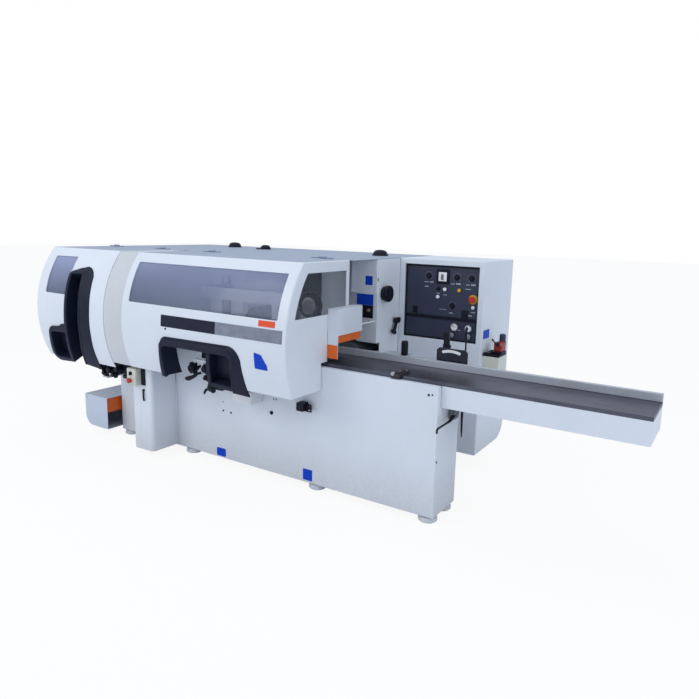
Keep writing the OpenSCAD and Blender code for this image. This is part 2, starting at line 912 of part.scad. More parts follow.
module rear_housing() {
    color("gainsboro") place() difference() {
        union() {
            block(x_out, x_wall, body_d - sheet_t, body_d, outfeed_hood_low, roof_h - sheet_t);
            block(-bed_l, x_wall, body_d - sheet_t, body_d, back_low, outfeed_hood_low);
            block(x_out, x_out + sheet_t, fence_back + table_gap, body_d,
                outfeed_hood_low, roof_h - sheet_t);
            block(x_out, x_out + sheet_t, roof_front, fence_back + table_gap, guard_low,
                roof_h - sheet_t);
            block(-inner_in, -inner_in + sheet_t, roof_front, body_d - sheet_t, inner_low,
                roof_h - sheet_t);
        }
        for (s = louvre_shares) {
            for (i = [0 : louvre_count - 1]) {
                block(-bed_l + (bed_l - wall_in) * s - louvre_w / 2,
                    -bed_l + (bed_l - wall_in) * s + louvre_w / 2,
                    body_d - sheet_t - cut_over, body_d + cut_over,
                    table_h + fence_h + louvre_step * i + louvre_h,
                    table_h + fence_h + louvre_step * i + louvre_h + louvre_h);
            }
        }
    }
}

module roof_panel() {
    color("lightgray") place() {
        block(x_out, x_wall, roof_front, body_d, roof_h - sheet_t, roof_h);
        fixed_knuckles(x_end - main_hood_l, main_hood_l);
        fixed_knuckles(x_band - outfeed_hood_l, outfeed_hood_l);
    }
}

module column_cover() {
    color("gainsboro") place() {
        block(-inner_in + sheet_t, x_wall - sheet_t, wall_front, wall_front + sheet_t,
            post_box_low, roof_h - sheet_t);
        difference() {
            block(x_wall - sheet_t, x_wall, wall_front, cabinet_front, table_h - apron_h,
                roof_h - sheet_t);
            rod_x(x_wall - sheet_t - cut_over, x_wall + cut_over, knob_back, knob_up,
                stub_r + axle_fit);
            rod_x(x_wall - sheet_t - cut_over, x_wall + cut_over, wall_lever_back,
                wall_lever_up, stub_r + axle_fit);
        }
        block(x_wall - post_box_w, x_wall, wall_front - post_box_d, wall_front,
            post_box_low, head_box_low);
        block(x_wall - head_box_w, x_wall, wall_front - head_box_d, wall_front,
            head_box_low, roof_h - sheet_t);
    }
}

module extraction_caps() {
    color("black") place() {
        for (i = [0 : len(cap_in) - 1]) {
            translate([-cap_in[i], cap_back[i], roof_h]) {
                cylinder(r = cap_r, h = cap_side_h);
                translate([0, 0, cap_side_h]) cylinder(r1 = cap_r, r2 = cap_r / 2, h = cap_dome_h);
            }
        }
    }
}

// the cabinet's outside drawn in by a distance
module cabinet_shape(in) {
    difference() {
        block(x_wall + in, x_side - in, cabinet_front + in, body_d - in, cabinet_low + in,
            roof_h - in);
        difference() {
            block(x_wall, x_side, body_d - cabinet_corner_r, body_d, cabinet_low,
                cabinet_low + cabinet_corner_r);
            rod_x(x_wall, x_side, body_d - cabinet_corner_r, cabinet_low + cabinet_corner_r,
                cabinet_corner_r - in);
        }
    }
}

module control_cabinet() {
    color("gainsboro") place() difference() {
        union() {
            difference() {
                cabinet_shape(0);
                cabinet_shape(sheet_t);
            }
            block(opening_x0 - frame_w, opening_x1 + frame_w, cabinet_front + sheet_t / 2,
                panel_y, panel_low - frame_w, panel_top + frame_w);
        }
        block(opening_x0, opening_x1, cabinet_front - cut_over, panel_y + cut_over,
            panel_low, panel_top);
    }
}

module collar(x, z) {
    difference() {
        rod_y(x, panel_y - collar_h, panel_y, z, button_r + run_gap / 2 + collar_w);
        rod_y(x, panel_y - collar_h - cut_over, panel_y, z, button_r + run_gap / 2);
    }
}

module control_panel() {
    color("darkslategray") place() {
        block(opening_x0 - frame_w, opening_x1 + frame_w, panel_y, panel_y + panel_t,
            panel_low - frame_w, panel_top + frame_w);
        block(x_side - display_in - display_w / 2, x_side - display_in + display_w / 2,
            panel_y - display_t, panel_y, panel_low + dial_up - display_w / 2,
            panel_low + dial_up + display_w / 2);
        for (x = gauge_in) {
            rod_y(x_side - x, panel_y - gauge_d, panel_y, panel_low + gauge_up, gauge_r);
            rod_y(x_side - x, panel_y - gauge_d, panel_y, panel_low + regulator_up, regulator_r);
        }
        collar(x_side - start_in, panel_low + start_up);
        collar(x_side - jog_in, panel_low + jog_up);
        collar(x_side - yellow_in, panel_low + start_up);
        collar(x_side - stop_in, panel_low + stop_up);
    }
}

module dial(x, z) {
    color("black") place() {
        rod_y(x, panel_y - run_gap / 2 - dial_h / 2, panel_y - run_gap / 2, z, dial_r);
        block(x - dial_r / 4, x + dial_r / 4, panel_y - run_gap / 2 - dial_h,
            panel_y - run_gap / 2 - dial_h / 2, z - dial_r * bar_share, z + dial_r * bar_share);
    }
}

module height_dial() {
    dial(x_side - dial_in[0], panel_low + dial_up);
}

module speed_dial() {
    dial(x_side - dial_in[1], panel_low + dial_up);
}

module feed_dial() {
    dial(x_side - dial_in[2], panel_low + dial_up);
}

module mode_selector() {
    dial(x_side - mode_in, panel_low + mode_up);
}

module button(x, z) {
    place() rod_y(x, panel_y - run_gap - button_travel - button_h,
        panel_y - run_gap - button_travel, z, button_r);
}

module start_button() {
    color("white") button(x_side - start_in, panel_low + start_up);
}

module jog_button() {
    color("white") button(x_side - jog_in, panel_low + jog_up);
}

module yellow_button() {
    color("gold") button(x_side - yellow_in, panel_low + start_up);
}

module emergency_stop() {
    color("red") {
        button(x_side - stop_in, panel_low + stop_up);
        place() rod_y(x_side - stop_in, panel_y - run_gap - button_travel - button_h - stop_h,
            panel_y - run_gap - button_travel - button_h, panel_low + stop_up, stop_r);
    }
}

module wall_knob() {
    color("black") place() {
        rod_x(x_wall + run_gap, x_wall + knob_d, knob_back, knob_up, knob_r);
        rod_x(x_wall - sheet_t - run_gap, x_wall + run_gap, knob_back, knob_up, stub_r);
    }
}

module wall_lever() {
    color("black") place() {
        rod_x(x_wall + run_gap, x_wall + wall_hub_d, wall_lever_back, wall_lever_up,
            wall_hub_r);
        rod_x(x_wall - sheet_t - run_gap, x_wall + run_gap, wall_lever_back, wall_lever_up,
            stub_r);
        translate([x_wall + wall_lever_t, wall_lever_back, wall_lever_up])
            rotate([-wall_lever_lean, 0, 0])
            translate([0, -wall_lever_w / 2, -wall_lever_l])
            cube([wall_lever_t, wall_lever_w, wall_lever_l]);
    }
}

module infeed_guard() {
    color("whitesmoke") place() {
        difference() {
            block(guard_x0, guard_x1, guard_front, guard_front + guard_w, guard_low, guard_top);
            block(guard_x0 + sheet_t, guard_x1 - sheet_t, guard_front + sheet_t,
                guard_front + guard_w - sheet_t, guard_low - cut_over, guard_top - sheet_t);
            block(guard_x0 - cut_over, guard_x0 + sheet_t + cut_over, guard_front + sheet_t,
                guard_front + guard_w - sheet_t, guard_low - cut_over,
                guard_low + flap_up + flap_rod_r + flap_t + cut_over);
            rod_y(flap_x, guard_front - cut_over, guard_front + guard_w + cut_over, flap_z,
                flap_rod_r + axle_fit);
        }
        block(guard_x0, guard_x1, guard_front, guard_front + sheet_t, table_h + skirt_clear,
            guard_low);
        block(guard_x0, guard_x0 + guard_l / 3, guard_front + guard_w,
            wall_front - post_box_d, guard_low + flap_up + guard_l / 3, guard_top - flap_up);
    }
}

module guard_flap() {
    color("orangered") place() {
        rod_y(flap_x, guard_front, guard_front + guard_w, flap_z, flap_rod_r);
        block(flap_x - flap_t / 2, flap_x + flap_t / 2, guard_front + sheet_t + run_gap,
            guard_front + guard_w - sheet_t - run_gap, flap_low, flap_z);
    }
}

module service_box() {
    color("gainsboro") place() {
        block(service_x0, service_x0 + sheet_t, -service_d, 0, service_low, service_top);
        block(service_x0 + sheet_t, service_x1 - door_front_w - run_gap, -service_d,
            -service_d + sheet_t, service_low, service_top);
        block(service_x0 + sheet_t, service_x1, -service_d + sheet_t, 0,
            service_top - sheet_t, service_top);
        block(service_x0 + sheet_t, service_x1 - sheet_t - run_gap, -service_d + sheet_t + run_gap,
            0, service_low, service_low + sheet_t);
        block(service_x1 - door_front_w - run_gap, service_x1, -service_d,
            -service_d + sheet_t, door_top + run_gap, service_top);
        block(service_x1 - sheet_t, service_x1, -service_d + sheet_t, 0,
            door_top + run_gap, service_top - sheet_t);
        block(service_x1, door_x + door_hinge_r, door_y - door_hinge_r, 0, door_top + run_gap,
            door_top + run_gap + sheet_t);
        block(service_x1, door_x + door_hinge_r, door_y - door_hinge_r, 0,
            service_low - run_gap - sheet_t, service_low - run_gap);
        rod_z(door_x, door_y, door_top - door_pin_l, door_top + run_gap, door_hinge_r / 2);
        rod_z(door_x, door_y, service_low - run_gap, service_low + door_pin_l,
            door_hinge_r / 2);
    }
}

module service_door() {
    color("gainsboro") place() difference() {
        union() {
            block(service_x1 - door_front_w, service_x1, -service_d, -service_d + sheet_t,
                service_low, door_top);
            block(service_x1 - sheet_t, service_x1, -service_d + sheet_t, door_y,
                service_low, door_top);
            rod_z(door_x, door_y, service_low, door_top, door_hinge_r);
        }
        rod_z(door_x, door_y, door_top - door_pin_l - run_gap, door_top + cut_over,
            door_hinge_r / 2 + axle_fit);
        rod_z(door_x, door_y, service_low - cut_over, service_low + door_pin_l + run_gap,
            door_hinge_r / 2 + axle_fit);
    }
}

module door_handle() {
    color("black") place() {
        rod_y(handle_x, -service_d - handle_d, -service_d - run_gap / 2, handle_z, handle_w / 2);
        block(handle_x - handle_w / 2, handle_x + handle_w / 2, -service_d - handle_d,
            -service_d - handle_d / 2, handle_z - handle_l, handle_z);
    }
}

module switch_box() {
    color("beige") place() {
        block(switch_x0, switch_x0 + switch_w, switch_y0, -service_d, switch_low,
            switch_low + switch_h);
        difference() {
            rod_y(switch_x0 + switch_w / 2, switch_y0 - collar_h, switch_y0,
                switch_low + switch_h * stop_share, button_r + run_gap / 2 + collar_w);
            rod_y(switch_x0 + switch_w / 2, switch_y0 - collar_h - cut_over, switch_y0,
                switch_low + switch_h * stop_share, button_r + run_gap / 2);
        }
    }
}

module mushroom_stop() {
    color("red") place() {
        rod_y(switch_x0 + switch_w / 2, switch_y0 - run_gap - button_travel - button_h,
            switch_y0 - run_gap - button_travel, switch_low + switch_h * stop_share, button_r);
        rod_y(switch_x0 + switch_w / 2, switch_y0 - run_gap - button_travel - button_h - stop_h,
            switch_y0 - run_gap - button_travel - button_h, switch_low + switch_h * stop_share,
            mushroom_r);
    }
}

module switch_selector() {
    color("black") place() {
        rod_y(switch_x0 + switch_w / 2, switch_y0 - dial_h, switch_y0 - run_gap / 2,
            switch_low + switch_h * selector_share, selector_r);
    }
}

module end_shape(in, x1) {
    hull() {
        block(end_x0 + end_guard_r, x1, -end_guard_d + in, end_guard_back - in,
            end_guard_low + in, end_guard_top - in);
        block(end_x0 + in, x1, -end_guard_d + in, end_guard_back - in,
            end_guard_low + end_guard_r, end_guard_top - in);
        rod_y(end_x0 + end_guard_r, -end_guard_d + in, end_guard_back - in,
            end_guard_low + end_guard_r, end_guard_r - in);
    }
}

module end_guard() {
    color("lightsteelblue") place() {
        difference() {
            end_shape(0, -bed_l);
            end_shape(sheet_t, -bed_l + cut_over);
        }
        block(-bed_l - baffle_in - sheet_t, -bed_l - baffle_in, -end_guard_d + sheet_t,
            end_guard_back - sheet_t, end_guard_top - end_guard_h * baffle_share,
            end_guard_top - sheet_t);
    }
}

module lubricant_tank() {
    color("beige") place() {
        difference() {
            block(x_side, x_side + tank_l, cabinet_front + tank_back,
                cabinet_front + tank_back + tank_w, tank_low, tank_top);
            block(x_side + sheet_t, x_side + tank_l - sheet_t,
                cabinet_front + tank_back + sheet_t,
                cabinet_front + tank_back + tank_w - sheet_t, tank_low + sheet_t,
                tank_top + cut_over);
        }
        block(x_side, x_side + tank_l, cabinet_front + tank_back,
            cabinet_front + tank_back + tank_w, tank_top, tank_top + lid_t);
        rod_z(pump_x, pump_y, tank_top + lid_t, tank_top + lid_t + pump_h, pump_r);
        rod_x(pump_x - pump_r, pump_x + pump_r, pump_lever_y, pump_z, pin_r);
        for (side = [-1, 1]) {
            block(pump_x + side * (pump_r * 3 / 4 + run_gap / 2) - pump_r / 4 + run_gap / 2,
                pump_x + side * (pump_r * 3 / 4 + run_gap / 2) + pump_r / 4 - run_gap / 2,
                pump_lever_y - pump_hub_r, pump_y, pump_z - pump_hub_r, pump_z + pump_hub_r);
        }
    }
}

module pump_lever() {
    color("black") place() {
        difference() {
            union() {
                rod_x(pump_x - pump_r / 2, pump_x + pump_r / 2, pump_lever_y, pump_z, pump_hub_r);
                rod_y(pump_x, pump_lever_y - pump_lever_l, pump_lever_y, pump_z, pump_lever_r);
            }
            rod_x(pump_x - pump_r, pump_x + pump_r, pump_lever_y, pump_z, pin_r + axle_fit);
        }
    }
}

module lever_plate() {
    color("black") place() {
        difference() {
            block(plate_x0, plate_x1, lever_y0, lever_y1, table_h - apron_h,
                table_h + plate_up);
            rod_y(depth_x, lever_y0 - cut_over, lever_y1 + cut_over, depth_z, stub_r + axle_fit);
            rod_y(rod_x, lever_y0 - cut_over, lever_y1 + cut_over, depth_z, pin_r + axle_fit);
        }
        block(plate_x0, plate_x1, infeed_bed_d, lever_y0, table_h - apron_h,
            table_h - apron_h + flange_t);
    }
}

module depth_lever() {
    color("black") place() {
        rod_y(depth_x, lever_y1 + run_gap, lever_y1 + run_gap + depth_hub_d, depth_z,
            depth_lever_w);
        rod_y(depth_x, lever_y0 - run_gap, lever_y1 + run_gap, depth_z, stub_r);
        block(depth_x - depth_lever_w / 2, depth_x + depth_lever_w / 2,
            lever_y1 + run_gap + depth_hub_d / 2 - depth_lever_t / 2,
            lever_y1 + run_gap + depth_hub_d / 2 + depth_lever_t / 2,
            depth_z, depth_z + depth_lever_l);
        rod_z(depth_x, lever_y1 + run_gap + depth_hub_d / 2, depth_z + depth_lever_l,
            depth_z + depth_lever_l + depth_grip_l, depth_grip_r);
    }
}

module rod_lever() {
    color("black") place() {
        rod_y(rod_x, lever_y1 + run_gap, lever_y1 + run_gap + rod_hub_d, depth_z, rod_hub_r);
        rod_y(rod_x, lever_y0 - run_gap, lever_y1 + run_gap, depth_z, pin_r);
        rod_z(rod_x, lever_y1 + run_gap + rod_hub_d / 2, depth_z, depth_z + rod_l + depth_grip_l,
            rod_r);
    }
}

module side_presser() {
    color("dimgray") place() {
        block(-presser_in - presser_w / 2, -presser_in + presser_w / 2, ledge_w / 3,
            ledge_w, bed_top + run_gap / 2, table_h + presser_h);
        block(-presser_in - presser_w / 4, -presser_in + presser_w / 4, ledge_w,
            table_front + presser_reach, table_h + run_gap, table_h + presser_h);
        rod_z(-presser_in, table_front + presser_reach, table_h + run_gap,
            table_h + presser_h, presser_w / 3);
    }
}

module lift_lever() {
    color("dimgray") place() {
        rod_x(run_gap, drum_x1, drum_back, drum_up, drum_r);
        rod_x(-bed_wall - run_gap, run_gap, drum_back, drum_up, stub_r);
        translate([drum_x1 - lift_r, drum_back, drum_up]) rotate([90 + lift_fall, 0, 0])
            cylinder(r = lift_r, h = lift_l);
    }
}

module adjuster_block() {
    color("gainsboro") place() {
        block(-block_in, -block_in + block_l, -block_d, 0, block_low, block_low + block_h);
        for (i = [0 : len(adjuster_in) - 1]) {
            rod_y(-adjuster_in[i], -adjuster_reach + adjuster_l, 0, table_h - adjuster_under[i],
                shaft_r);
            rod_y(-adjuster_in[i], -adjuster_reach, -adjuster_reach + adjuster_l,
                table_h - adjuster_under[i], adjuster_r);
        }
    }
}

module interlock_switch() {
    color("black") place() {
        block(-interlock_in, -interlock_in + interlock_w, -interlock_d, 0, interlock_low,
            interlock_low + interlock_h);
    }
}

module main_hood() {
    color("white") place() difference() {
        union() {
            shell(x_main + run_gap, x_end, hood_low);
            along(x_end - hood_t, x_end) hood_inside(hood_t / 2, hood_low, roof_h - hood_t / 2,
                hinge_back);
            hinge_knuckles(x_main, main_hood_l);
        }
        along(x_main + window_side, x_end - window_side)
            hood_strip(-cut_over, hood_t + cut_over, window_low, window_top);
        along(x_end - hood_t - cut_over, x_end + cut_over)
            hood_inside(end_window_in, window_low, window_top, end_window_back);
        block(x_end - hood_t - cut_over, x_end + cut_over, guard_front - run_gap,
            hinge_back + cut_over, hood_low - cut_over, guard_low + flap_up);
        block(x_end - hood_t - cut_over, x_end + cut_over, -pass_gap,
            hinge_back + cut_over, hood_low - cut_over, table_h + pass_gap);
        along(x_shroud + rim_w - lip_w, x_end - shroud_right - rim_w + lip_w)
            hood_strip(-cut_over, hood_t + cut_over, hood_low - cut_over,
            shroud_top - rim_w + lip_w);
    }
}

module main_windows() {
    color("lightsteelblue") place() {
        along(x_main + window_side - pane_lap, x_end - window_side + pane_lap)
            hood_strip(hood_t, hood_t + pane_t, window_low - pane_lap, window_top + pane_lap);
        along(x_end - hood_t - pane_t, x_end - hood_t)
            hood_inside(end_window_in - pane_lap, window_low - pane_lap, window_top + pane_lap,
            end_window_back + pane_lap);
    }
}

module main_shroud() {
    color("black") place() difference() {
        union() {
            along(x_shroud, x_end - shroud_right)
                hood_strip(-rim_d, -seat_gap, hood_low - shroud_drop, shroud_top);
            along(x_shroud + rim_w - lip_w, x_end - shroud_right - rim_w + lip_w)
                hood_strip(-rim_d / 2, shroud_in, hood_low - shroud_drop,
                shroud_top - rim_w + lip_w);
        }
        block(x_shroud + rim_w, x_end - shroud_right - rim_w, front_y - cut_over, 0,
            hood_low - shroud_drop - cut_over, shroud_top - rim_w);
    }
}

module hood_plates() {
    color("dimgray") place() {
        along(x_end - strip_in, x_end - strip_right)
            hood_strip(-label_t - seat_gap, -seat_gap, strip_low, strip_low + strip_h);
    }
}

module middle_band() {
    color("lightgray") place() {
        along(x_band + run_gap, x_main) difference() {
            hood_inside(band_in, hood_low, roof_h - band_in, roof_front);
            hood_inside(band_in + band_t, hood_low - cut_over, roof_h - band_in - band_t,
                roof_front + cut_over);
        }
        along(x_band + band_l / 2 - band_t / 2, x_band + band_l / 2 + band_t / 2)
            hood_inside(band_in + band_t, hood_low, bed_top, 0);
        block(x_band + run_gap, x_main, roof_front - leaf_w, roof_front + leaf_w,
            roof_h - sheet_t - band_in - band_t - band_t, roof_h - sheet_t - band_in - band_t);
        block(x_band + run_gap, x_main, roof_front, roof_front + leaf_w,
            roof_h - sheet_t - band_in - band_t, roof_h - sheet_t);
    }
}

module outfeed_hood() {
    color("white") place() difference() {
        union() {
            shell(x_out, x_band, outfeed_hood_low);
            along(x_out, x_out + hood_t) hood_inside(hood_t / 2, outfeed_hood_low,
                roof_h - hood_t / 2, hinge_back);
            hinge_knuckles(x_out, outfeed_hood_l);
        }
        along(x_out + outfeed_window_side, x_out + outfeed_window_side + outfeed_window_w)
            hood_strip(-cut_over, hood_t + cut_over, window_low, window_top);
        block(x_out - cut_over, x_out + hood_t + cut_over, table_front - pass_gap,
            hinge_back + cut_over, outfeed_hood_low - cut_over, guard_low);
        along(x_slot - lip_w / 2, x_slot + slot_open_w + lip_w / 2)
            hood_strip(-cut_over, hood_t + cut_over, outfeed_hood_low - cut_over,
            slot_top - rim_w + lip_w);
        along(x_lobe + lip_w / 2, x_slot)
            hood_strip(-cut_over, hood_t + cut_over, outfeed_hood_low - cut_over,
            lobe_top - lip_w / 2);
    }
}

module outfeed_window() {
    color("lightsteelblue") place() {
        along(x_out + outfeed_window_side - pane_lap,
            x_out + outfeed_window_side + outfeed_window_w + pane_lap)
            hood_strip(hood_t, hood_t + pane_t, window_low - pane_lap, window_top + pane_lap);
    }
}

module slot_strip(x0, x1, d0, d1, z1) {
    along(x0, x1) hood_strip(d0, d1, outfeed_hood_low - shroud_drop, z1);
}

module outfeed_shroud() {
    color("black") place() difference() {
        union() {
            slot_strip(x_slot - lip_w, x_band - slot_right, -rim_d, -seat_gap, slot_top);
            slot_strip(x_lobe, x_slot, -rim_d, -seat_gap, lobe_top);
            slot_strip(x_slot - lip_w / 2, x_slot + slot_open_w + lip_w / 2, -rim_d / 2,
                shroud_in, slot_top - rim_w + lip_w);
            slot_strip(x_lobe + lip_w / 2, x_slot + lip_w / 2, -rim_d / 2, shroud_in,
                lobe_top - lip_w / 2);
        }
        block(x_slot, x_slot + slot_open_w, front_y - cut_over, 0,
            outfeed_hood_low - shroud_drop - cut_over, slot_top - rim_w);
        block(x_lobe + lip_w, x_slot + lip_w, front_y - cut_over, 0,
            outfeed_hood_low - shroud_drop - cut_over, lobe_top - lip_w);
    }
}

module feed_columns() {
    color("silver") place() {
        for (x = column_in) {
            rod_z(-x, column_y, plate_low, beam_low + beam_h + beam_travel + boss_wall, column_r);
        }
    }
}

module feed_beam() {
    color("gainsboro") place() difference() {
        union() {
            block(-column_in[1] - column_r - boss_wall, -roller_in[0] + arm_w, arm_y0,
                arm_y0 + beam_d, beam_low, beam_low + beam_h);
            for (x = column_in) {
                rod_z(-x, column_y, beam_low, beam_low + beam_h, column_r + boss_wall);
                block(-x - column_r, -x + column_r, arm_y0 + beam_d / 2, column_y, beam_low,
                    beam_low + beam_h);
            }
            for (x = roller_in) {
                block(-x - arm_w / 2, -x + arm_w / 2, arm_y0, arm_y1, axle_z - arm_w / 2,
                    beam_low);
            }
        }
        for (x = column_in) {
            rod_z(-x, column_y, beam_low - cut_over, beam_low + beam_h + cut_over,
                column_r + column_fit);
        }
        for (x = roller_in) {
            rod_y(-x, arm_y0 - cut_over, arm_y1 + cut_over, axle_z, axle_r + axle_fit);
        }
    }
}

module roller(x) {
    color("gray") place() {
        rod_y(-x, roller_y0, roller_y1, axle_z, roller_r);
        rod_y(-x, roller_y1, arm_y1 + run_gap, axle_z, axle_r);
    }
}

module front_roller() {
    roller(roller_in[0]);
}

module middle_roller() {
    roller(roller_in[1]);
}

module rear_roller() {
    roller(roller_in[2]);
}

module lying_unit(x, z) {
    difference() {
        union() {
            rod_y(-x, housing_y0, housing_y1, z, housing_r);
            rod_y(-x, housing_y1, housing_y1 + motor_l, z, motor_r);
        }
        rod_y(-x, housing_y0 - cut_over, housing_y1, z, nose_r + axle_fit);
    }
}

module standing_unit(x, y) {
    difference() {
        union() {
            rod_z(-x, y, side_z0 - housing_l, side_z0, housing_r);
            rod_z(-x, y, side_z0 - housing_l - motor_l, side_z0 - housing_l, motor_r);
        }
        rod_z(-x, y, side_z0 - housing_l, side_z0 + cut_over, nose_r + axle_fit);
    }
}

module spindle_units() {
    color("slategray") place() {
        lying_unit(bottom_in, bottom_z);
        lying_unit(second_in, bottom_z);
        lying_unit(top_in, top_z);
        difference() {
            block(-top_in - housing_r, -top_in + housing_r, fence_back + run_gap,
                column_y + flange_w / 2, plate_low, top_z);
            rod_y(-top_in, rail_y - cut_over, housing_y1, top_z, housing_r);
        }
        standing_unit(right_in, right_y);
        standing_unit(left_in, left_y);
        difference() {
            block(-left_in - housing_r, -left_in + housing_r, bed_wall, left_y,
                side_z0 - housing_l, side_z0 - housing_l + housing_r);
            rod_z(-left_in, left_y, side_z0 - housing_l - cut_over, side_z0, housing_r);
        }
    }
}

module knives(h) {
    for (a = [0 : 90 : 270]) {
        rotate([0, 0, a]) translate([cutter_r - knife_w, -knife_w / 2, -cut_over])
            cube([knife_w + cut_over, knife_w, h + cut_over * 2]);
    }
}

module lying_cutter(x, z) {
    color("silver") place() {
        translate([-x, table_back, z]) rotate([90, 0, 0]) difference() {
            cylinder(r = cutter_r, h = cutter_l);
            knives(cutter_l);
        }
        rod_y(-x, table_back, housing_y1 - run_gap, z, nose_r);
    }
}

module standing_cutter(x, y) {
    color("silver") place() {
        translate([-x, y, plate_low - run_gap]) difference() {
            cylinder(r = cutter_r, h = side_cutter_h);
            knives(side_cutter_h);
        }
        rod_z(-x, y, side_z0 - housing_l + run_gap, plate_low - run_gap, nose_r);
    }
}

module bottom_cutterhead() {
    lying_cutter(bottom_in, bottom_z);
}

module right_cutterhead() {
    standing_cutter(right_in, right_y);
}

module left_cutterhead() {
    standing_cutter(left_in, left_y);
}

module top_cutterhead() {
    lying_cutter(top_in, top_z);
}

module second_cutterhead() {
    lying_cutter(second_in, bottom_z);
}

bed_frame();
levelling_feet();
machine_table();
infeed_table();
table_apron();
infeed_fence();
fence_grip();
rear_housing();
roof_panel();
column_cover();
extraction_caps();
control_cabinet();
control_panel();
height_dial();
speed_dial();
feed_dial();
mode_selector();
start_button();
jog_button();
yellow_button();
emergency_stop();
wall_knob();
wall_lever();
infeed_guard();
guard_flap();
service_box();
service_door();
door_handle();
switch_box();
mushroom_stop();
switch_selector();
end_guard();
lubricant_tank();
pump_lever();
lever_plate();
depth_lever();
rod_lever();
side_presser();
lift_lever();
adjuster_block();
interlock_switch();
main_hood();
main_windows();
main_shroud();
hood_plates();
middle_band();
outfeed_hood();
outfeed_window();
outfeed_shroud();
feed_columns();
feed_beam();
front_roller();
middle_roller();
rear_roller();
spindle_units();
bottom_cutterhead();
right_cutterhead();
left_cutterhead();
top_cutterhead();
second_cutterhead();
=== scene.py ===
import math

import bmesh
import bpy
from mathutils import Matrix, Vector


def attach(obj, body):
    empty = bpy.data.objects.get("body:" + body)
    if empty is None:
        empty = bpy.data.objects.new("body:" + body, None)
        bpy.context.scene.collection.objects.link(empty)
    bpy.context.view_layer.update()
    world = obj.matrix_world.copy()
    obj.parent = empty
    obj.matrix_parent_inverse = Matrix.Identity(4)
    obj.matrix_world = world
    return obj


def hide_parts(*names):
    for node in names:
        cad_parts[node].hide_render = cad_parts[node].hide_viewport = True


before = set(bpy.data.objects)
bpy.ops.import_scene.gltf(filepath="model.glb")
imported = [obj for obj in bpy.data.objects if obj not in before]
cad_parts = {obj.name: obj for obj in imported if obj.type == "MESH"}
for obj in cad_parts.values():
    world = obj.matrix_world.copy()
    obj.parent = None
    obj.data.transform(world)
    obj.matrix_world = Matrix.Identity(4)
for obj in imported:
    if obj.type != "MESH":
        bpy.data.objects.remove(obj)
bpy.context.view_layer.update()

# Camera: stands in front of the infeed end, a little above the roof, and
# looks along the machine to the outfeed hood. Sizes of the machine are taken
# from the bed's front corner at the infeed end, on the floor.
bed_corner = Vector((1.105, -0.5555, 0.0))
eye = bed_corner + Vector((1.418, -3.122, 1.717))
look = Vector((-0.5218, 0.8345, -0.1773)).normalized()
right = Vector((0.8453, 0.5338, 0.0247))
right = (right - look * right.dot(look)).normalized()
lens = bpy.data.cameras.new("moulder_view")
lens.sensor_width = 36.0
lens.lens = 31.94
lens.shift_x = -0.0146
lens.shift_y = -0.0150
lens.clip_end = 100.0
viewer = bpy.data.objects.new("moulder_view", lens)
viewer.matrix_world = Matrix.Translation(eye) @ Matrix(
    (right, right.cross(look), -look)).transposed().to_4x4()
bpy.context.scene.collection.objects.link(viewer)
bpy.context.scene.camera = viewer
bpy.context.scene.view_settings.view_transform = "Standard"


# Studio: a pale seamless floor, a bright room all round, and soft boxes over
# the front, the top and the infeed end.
def add(tree, kind, inputs=None, **settings):
    made = tree.nodes.new("ShaderNode" + kind)
    for key, value in settings.items():
        setattr(made, key, value)
    for key, value in (inputs or {}).items():
        if isinstance(value, bpy.types.NodeSocket):
            tree.links.new(value, made.inputs[key])
        else:
            made.inputs[key].default_value = value
    return made


room = bpy.data.worlds.new("studio_room")
bpy.context.scene.world = room
room.use_nodes = True
tree = room.node_tree
tree.nodes.clear()
path = add(tree, "LightPath")
seen = add(tree, "Math", {0: path.outputs["Is Camera Ray"], 1: path.outputs["Is Transmission Ray"]},
           operation="MAXIMUM")
fill = add(tree, "Background", {"Color": (0.80, 0.89, 1.0, 1), "Strength": 0.78})
white = add(tree, "Background", {"Color": (1, 1, 1, 1), "Strength": 1.0})
both = add(tree, "MixShader", {0: seen.outputs[0], 1: fill.outputs[0], 2: white.outputs[0]})
add(tree, "OutputWorld", {"Surface": both.outputs[0]})

for name, spot, aim, size, power, colour in (
        ("front_softbox", (-2.8, -4.8, 3.6), (-0.6, 0.0, 0.9), 3.0, 72, (1.0, 0.99, 0.97)),
        ("top_softbox", (-0.4, -0.6, 5.4), (-0.4, 0.0, 0.8), 4.0, 56, (0.93, 0.96, 1.0)),
        ("end_softbox", (5.4, -1.6, 2.4), (0.6, 0.2, 0.8), 2.4, 30, (0.93, 0.96, 1.0))):
    lamp = bpy.data.lights.new(name, "AREA")
    lamp.size = size
    lamp.energy = power
    lamp.color = colour
    holder = bpy.data.objects.new(name, lamp)
    holder.location = spot
    holder.rotation_euler = (Vector(aim) - Vector(spot)).to_track_quat("-Z", "Y").to_euler()
    bpy.context.scene.collection.objects.link(holder)

floor_reach, floor_glow = 40, 0.90
floor_mesh = bpy.data.meshes.new("studio_floor")
floor_corners = [(x * floor_reach, y * floor_reach, 0) for x, y in ((-1, -1), (1, -1), (1, 1), (-1, 1))]
floor_mesh.from_pydata(floor_corners, [], [(0, 1, 2, 3)])
studio_floor = bpy.data.objects.new("studio_floor", floor_mesh)
bpy.context.scene.collection.objects.link(studio_floor)
floor_white = bpy.data.materials.new("floor_white")
floor_white.use_nodes = True
tree = floor_white.node_tree
lit = tree.nodes["Principled BSDF"]
lit.inputs["Base Color"].default_value = (0.90, 0.91, 0.93, 1)
lit.inputs["Roughness"].default_value = 0.8
lit.inputs["Specular IOR Level"].default_value = 0.1
glow = add(tree, "Emission", {"Color": (1, 1, 1, 1), "Strength": 1.0})
path = add(tree, "LightPath")
part_lit = add(tree, "Math", {0: path.outputs["Is Camera Ray"], 1: floor_glow}, operation="MULTIPLY")
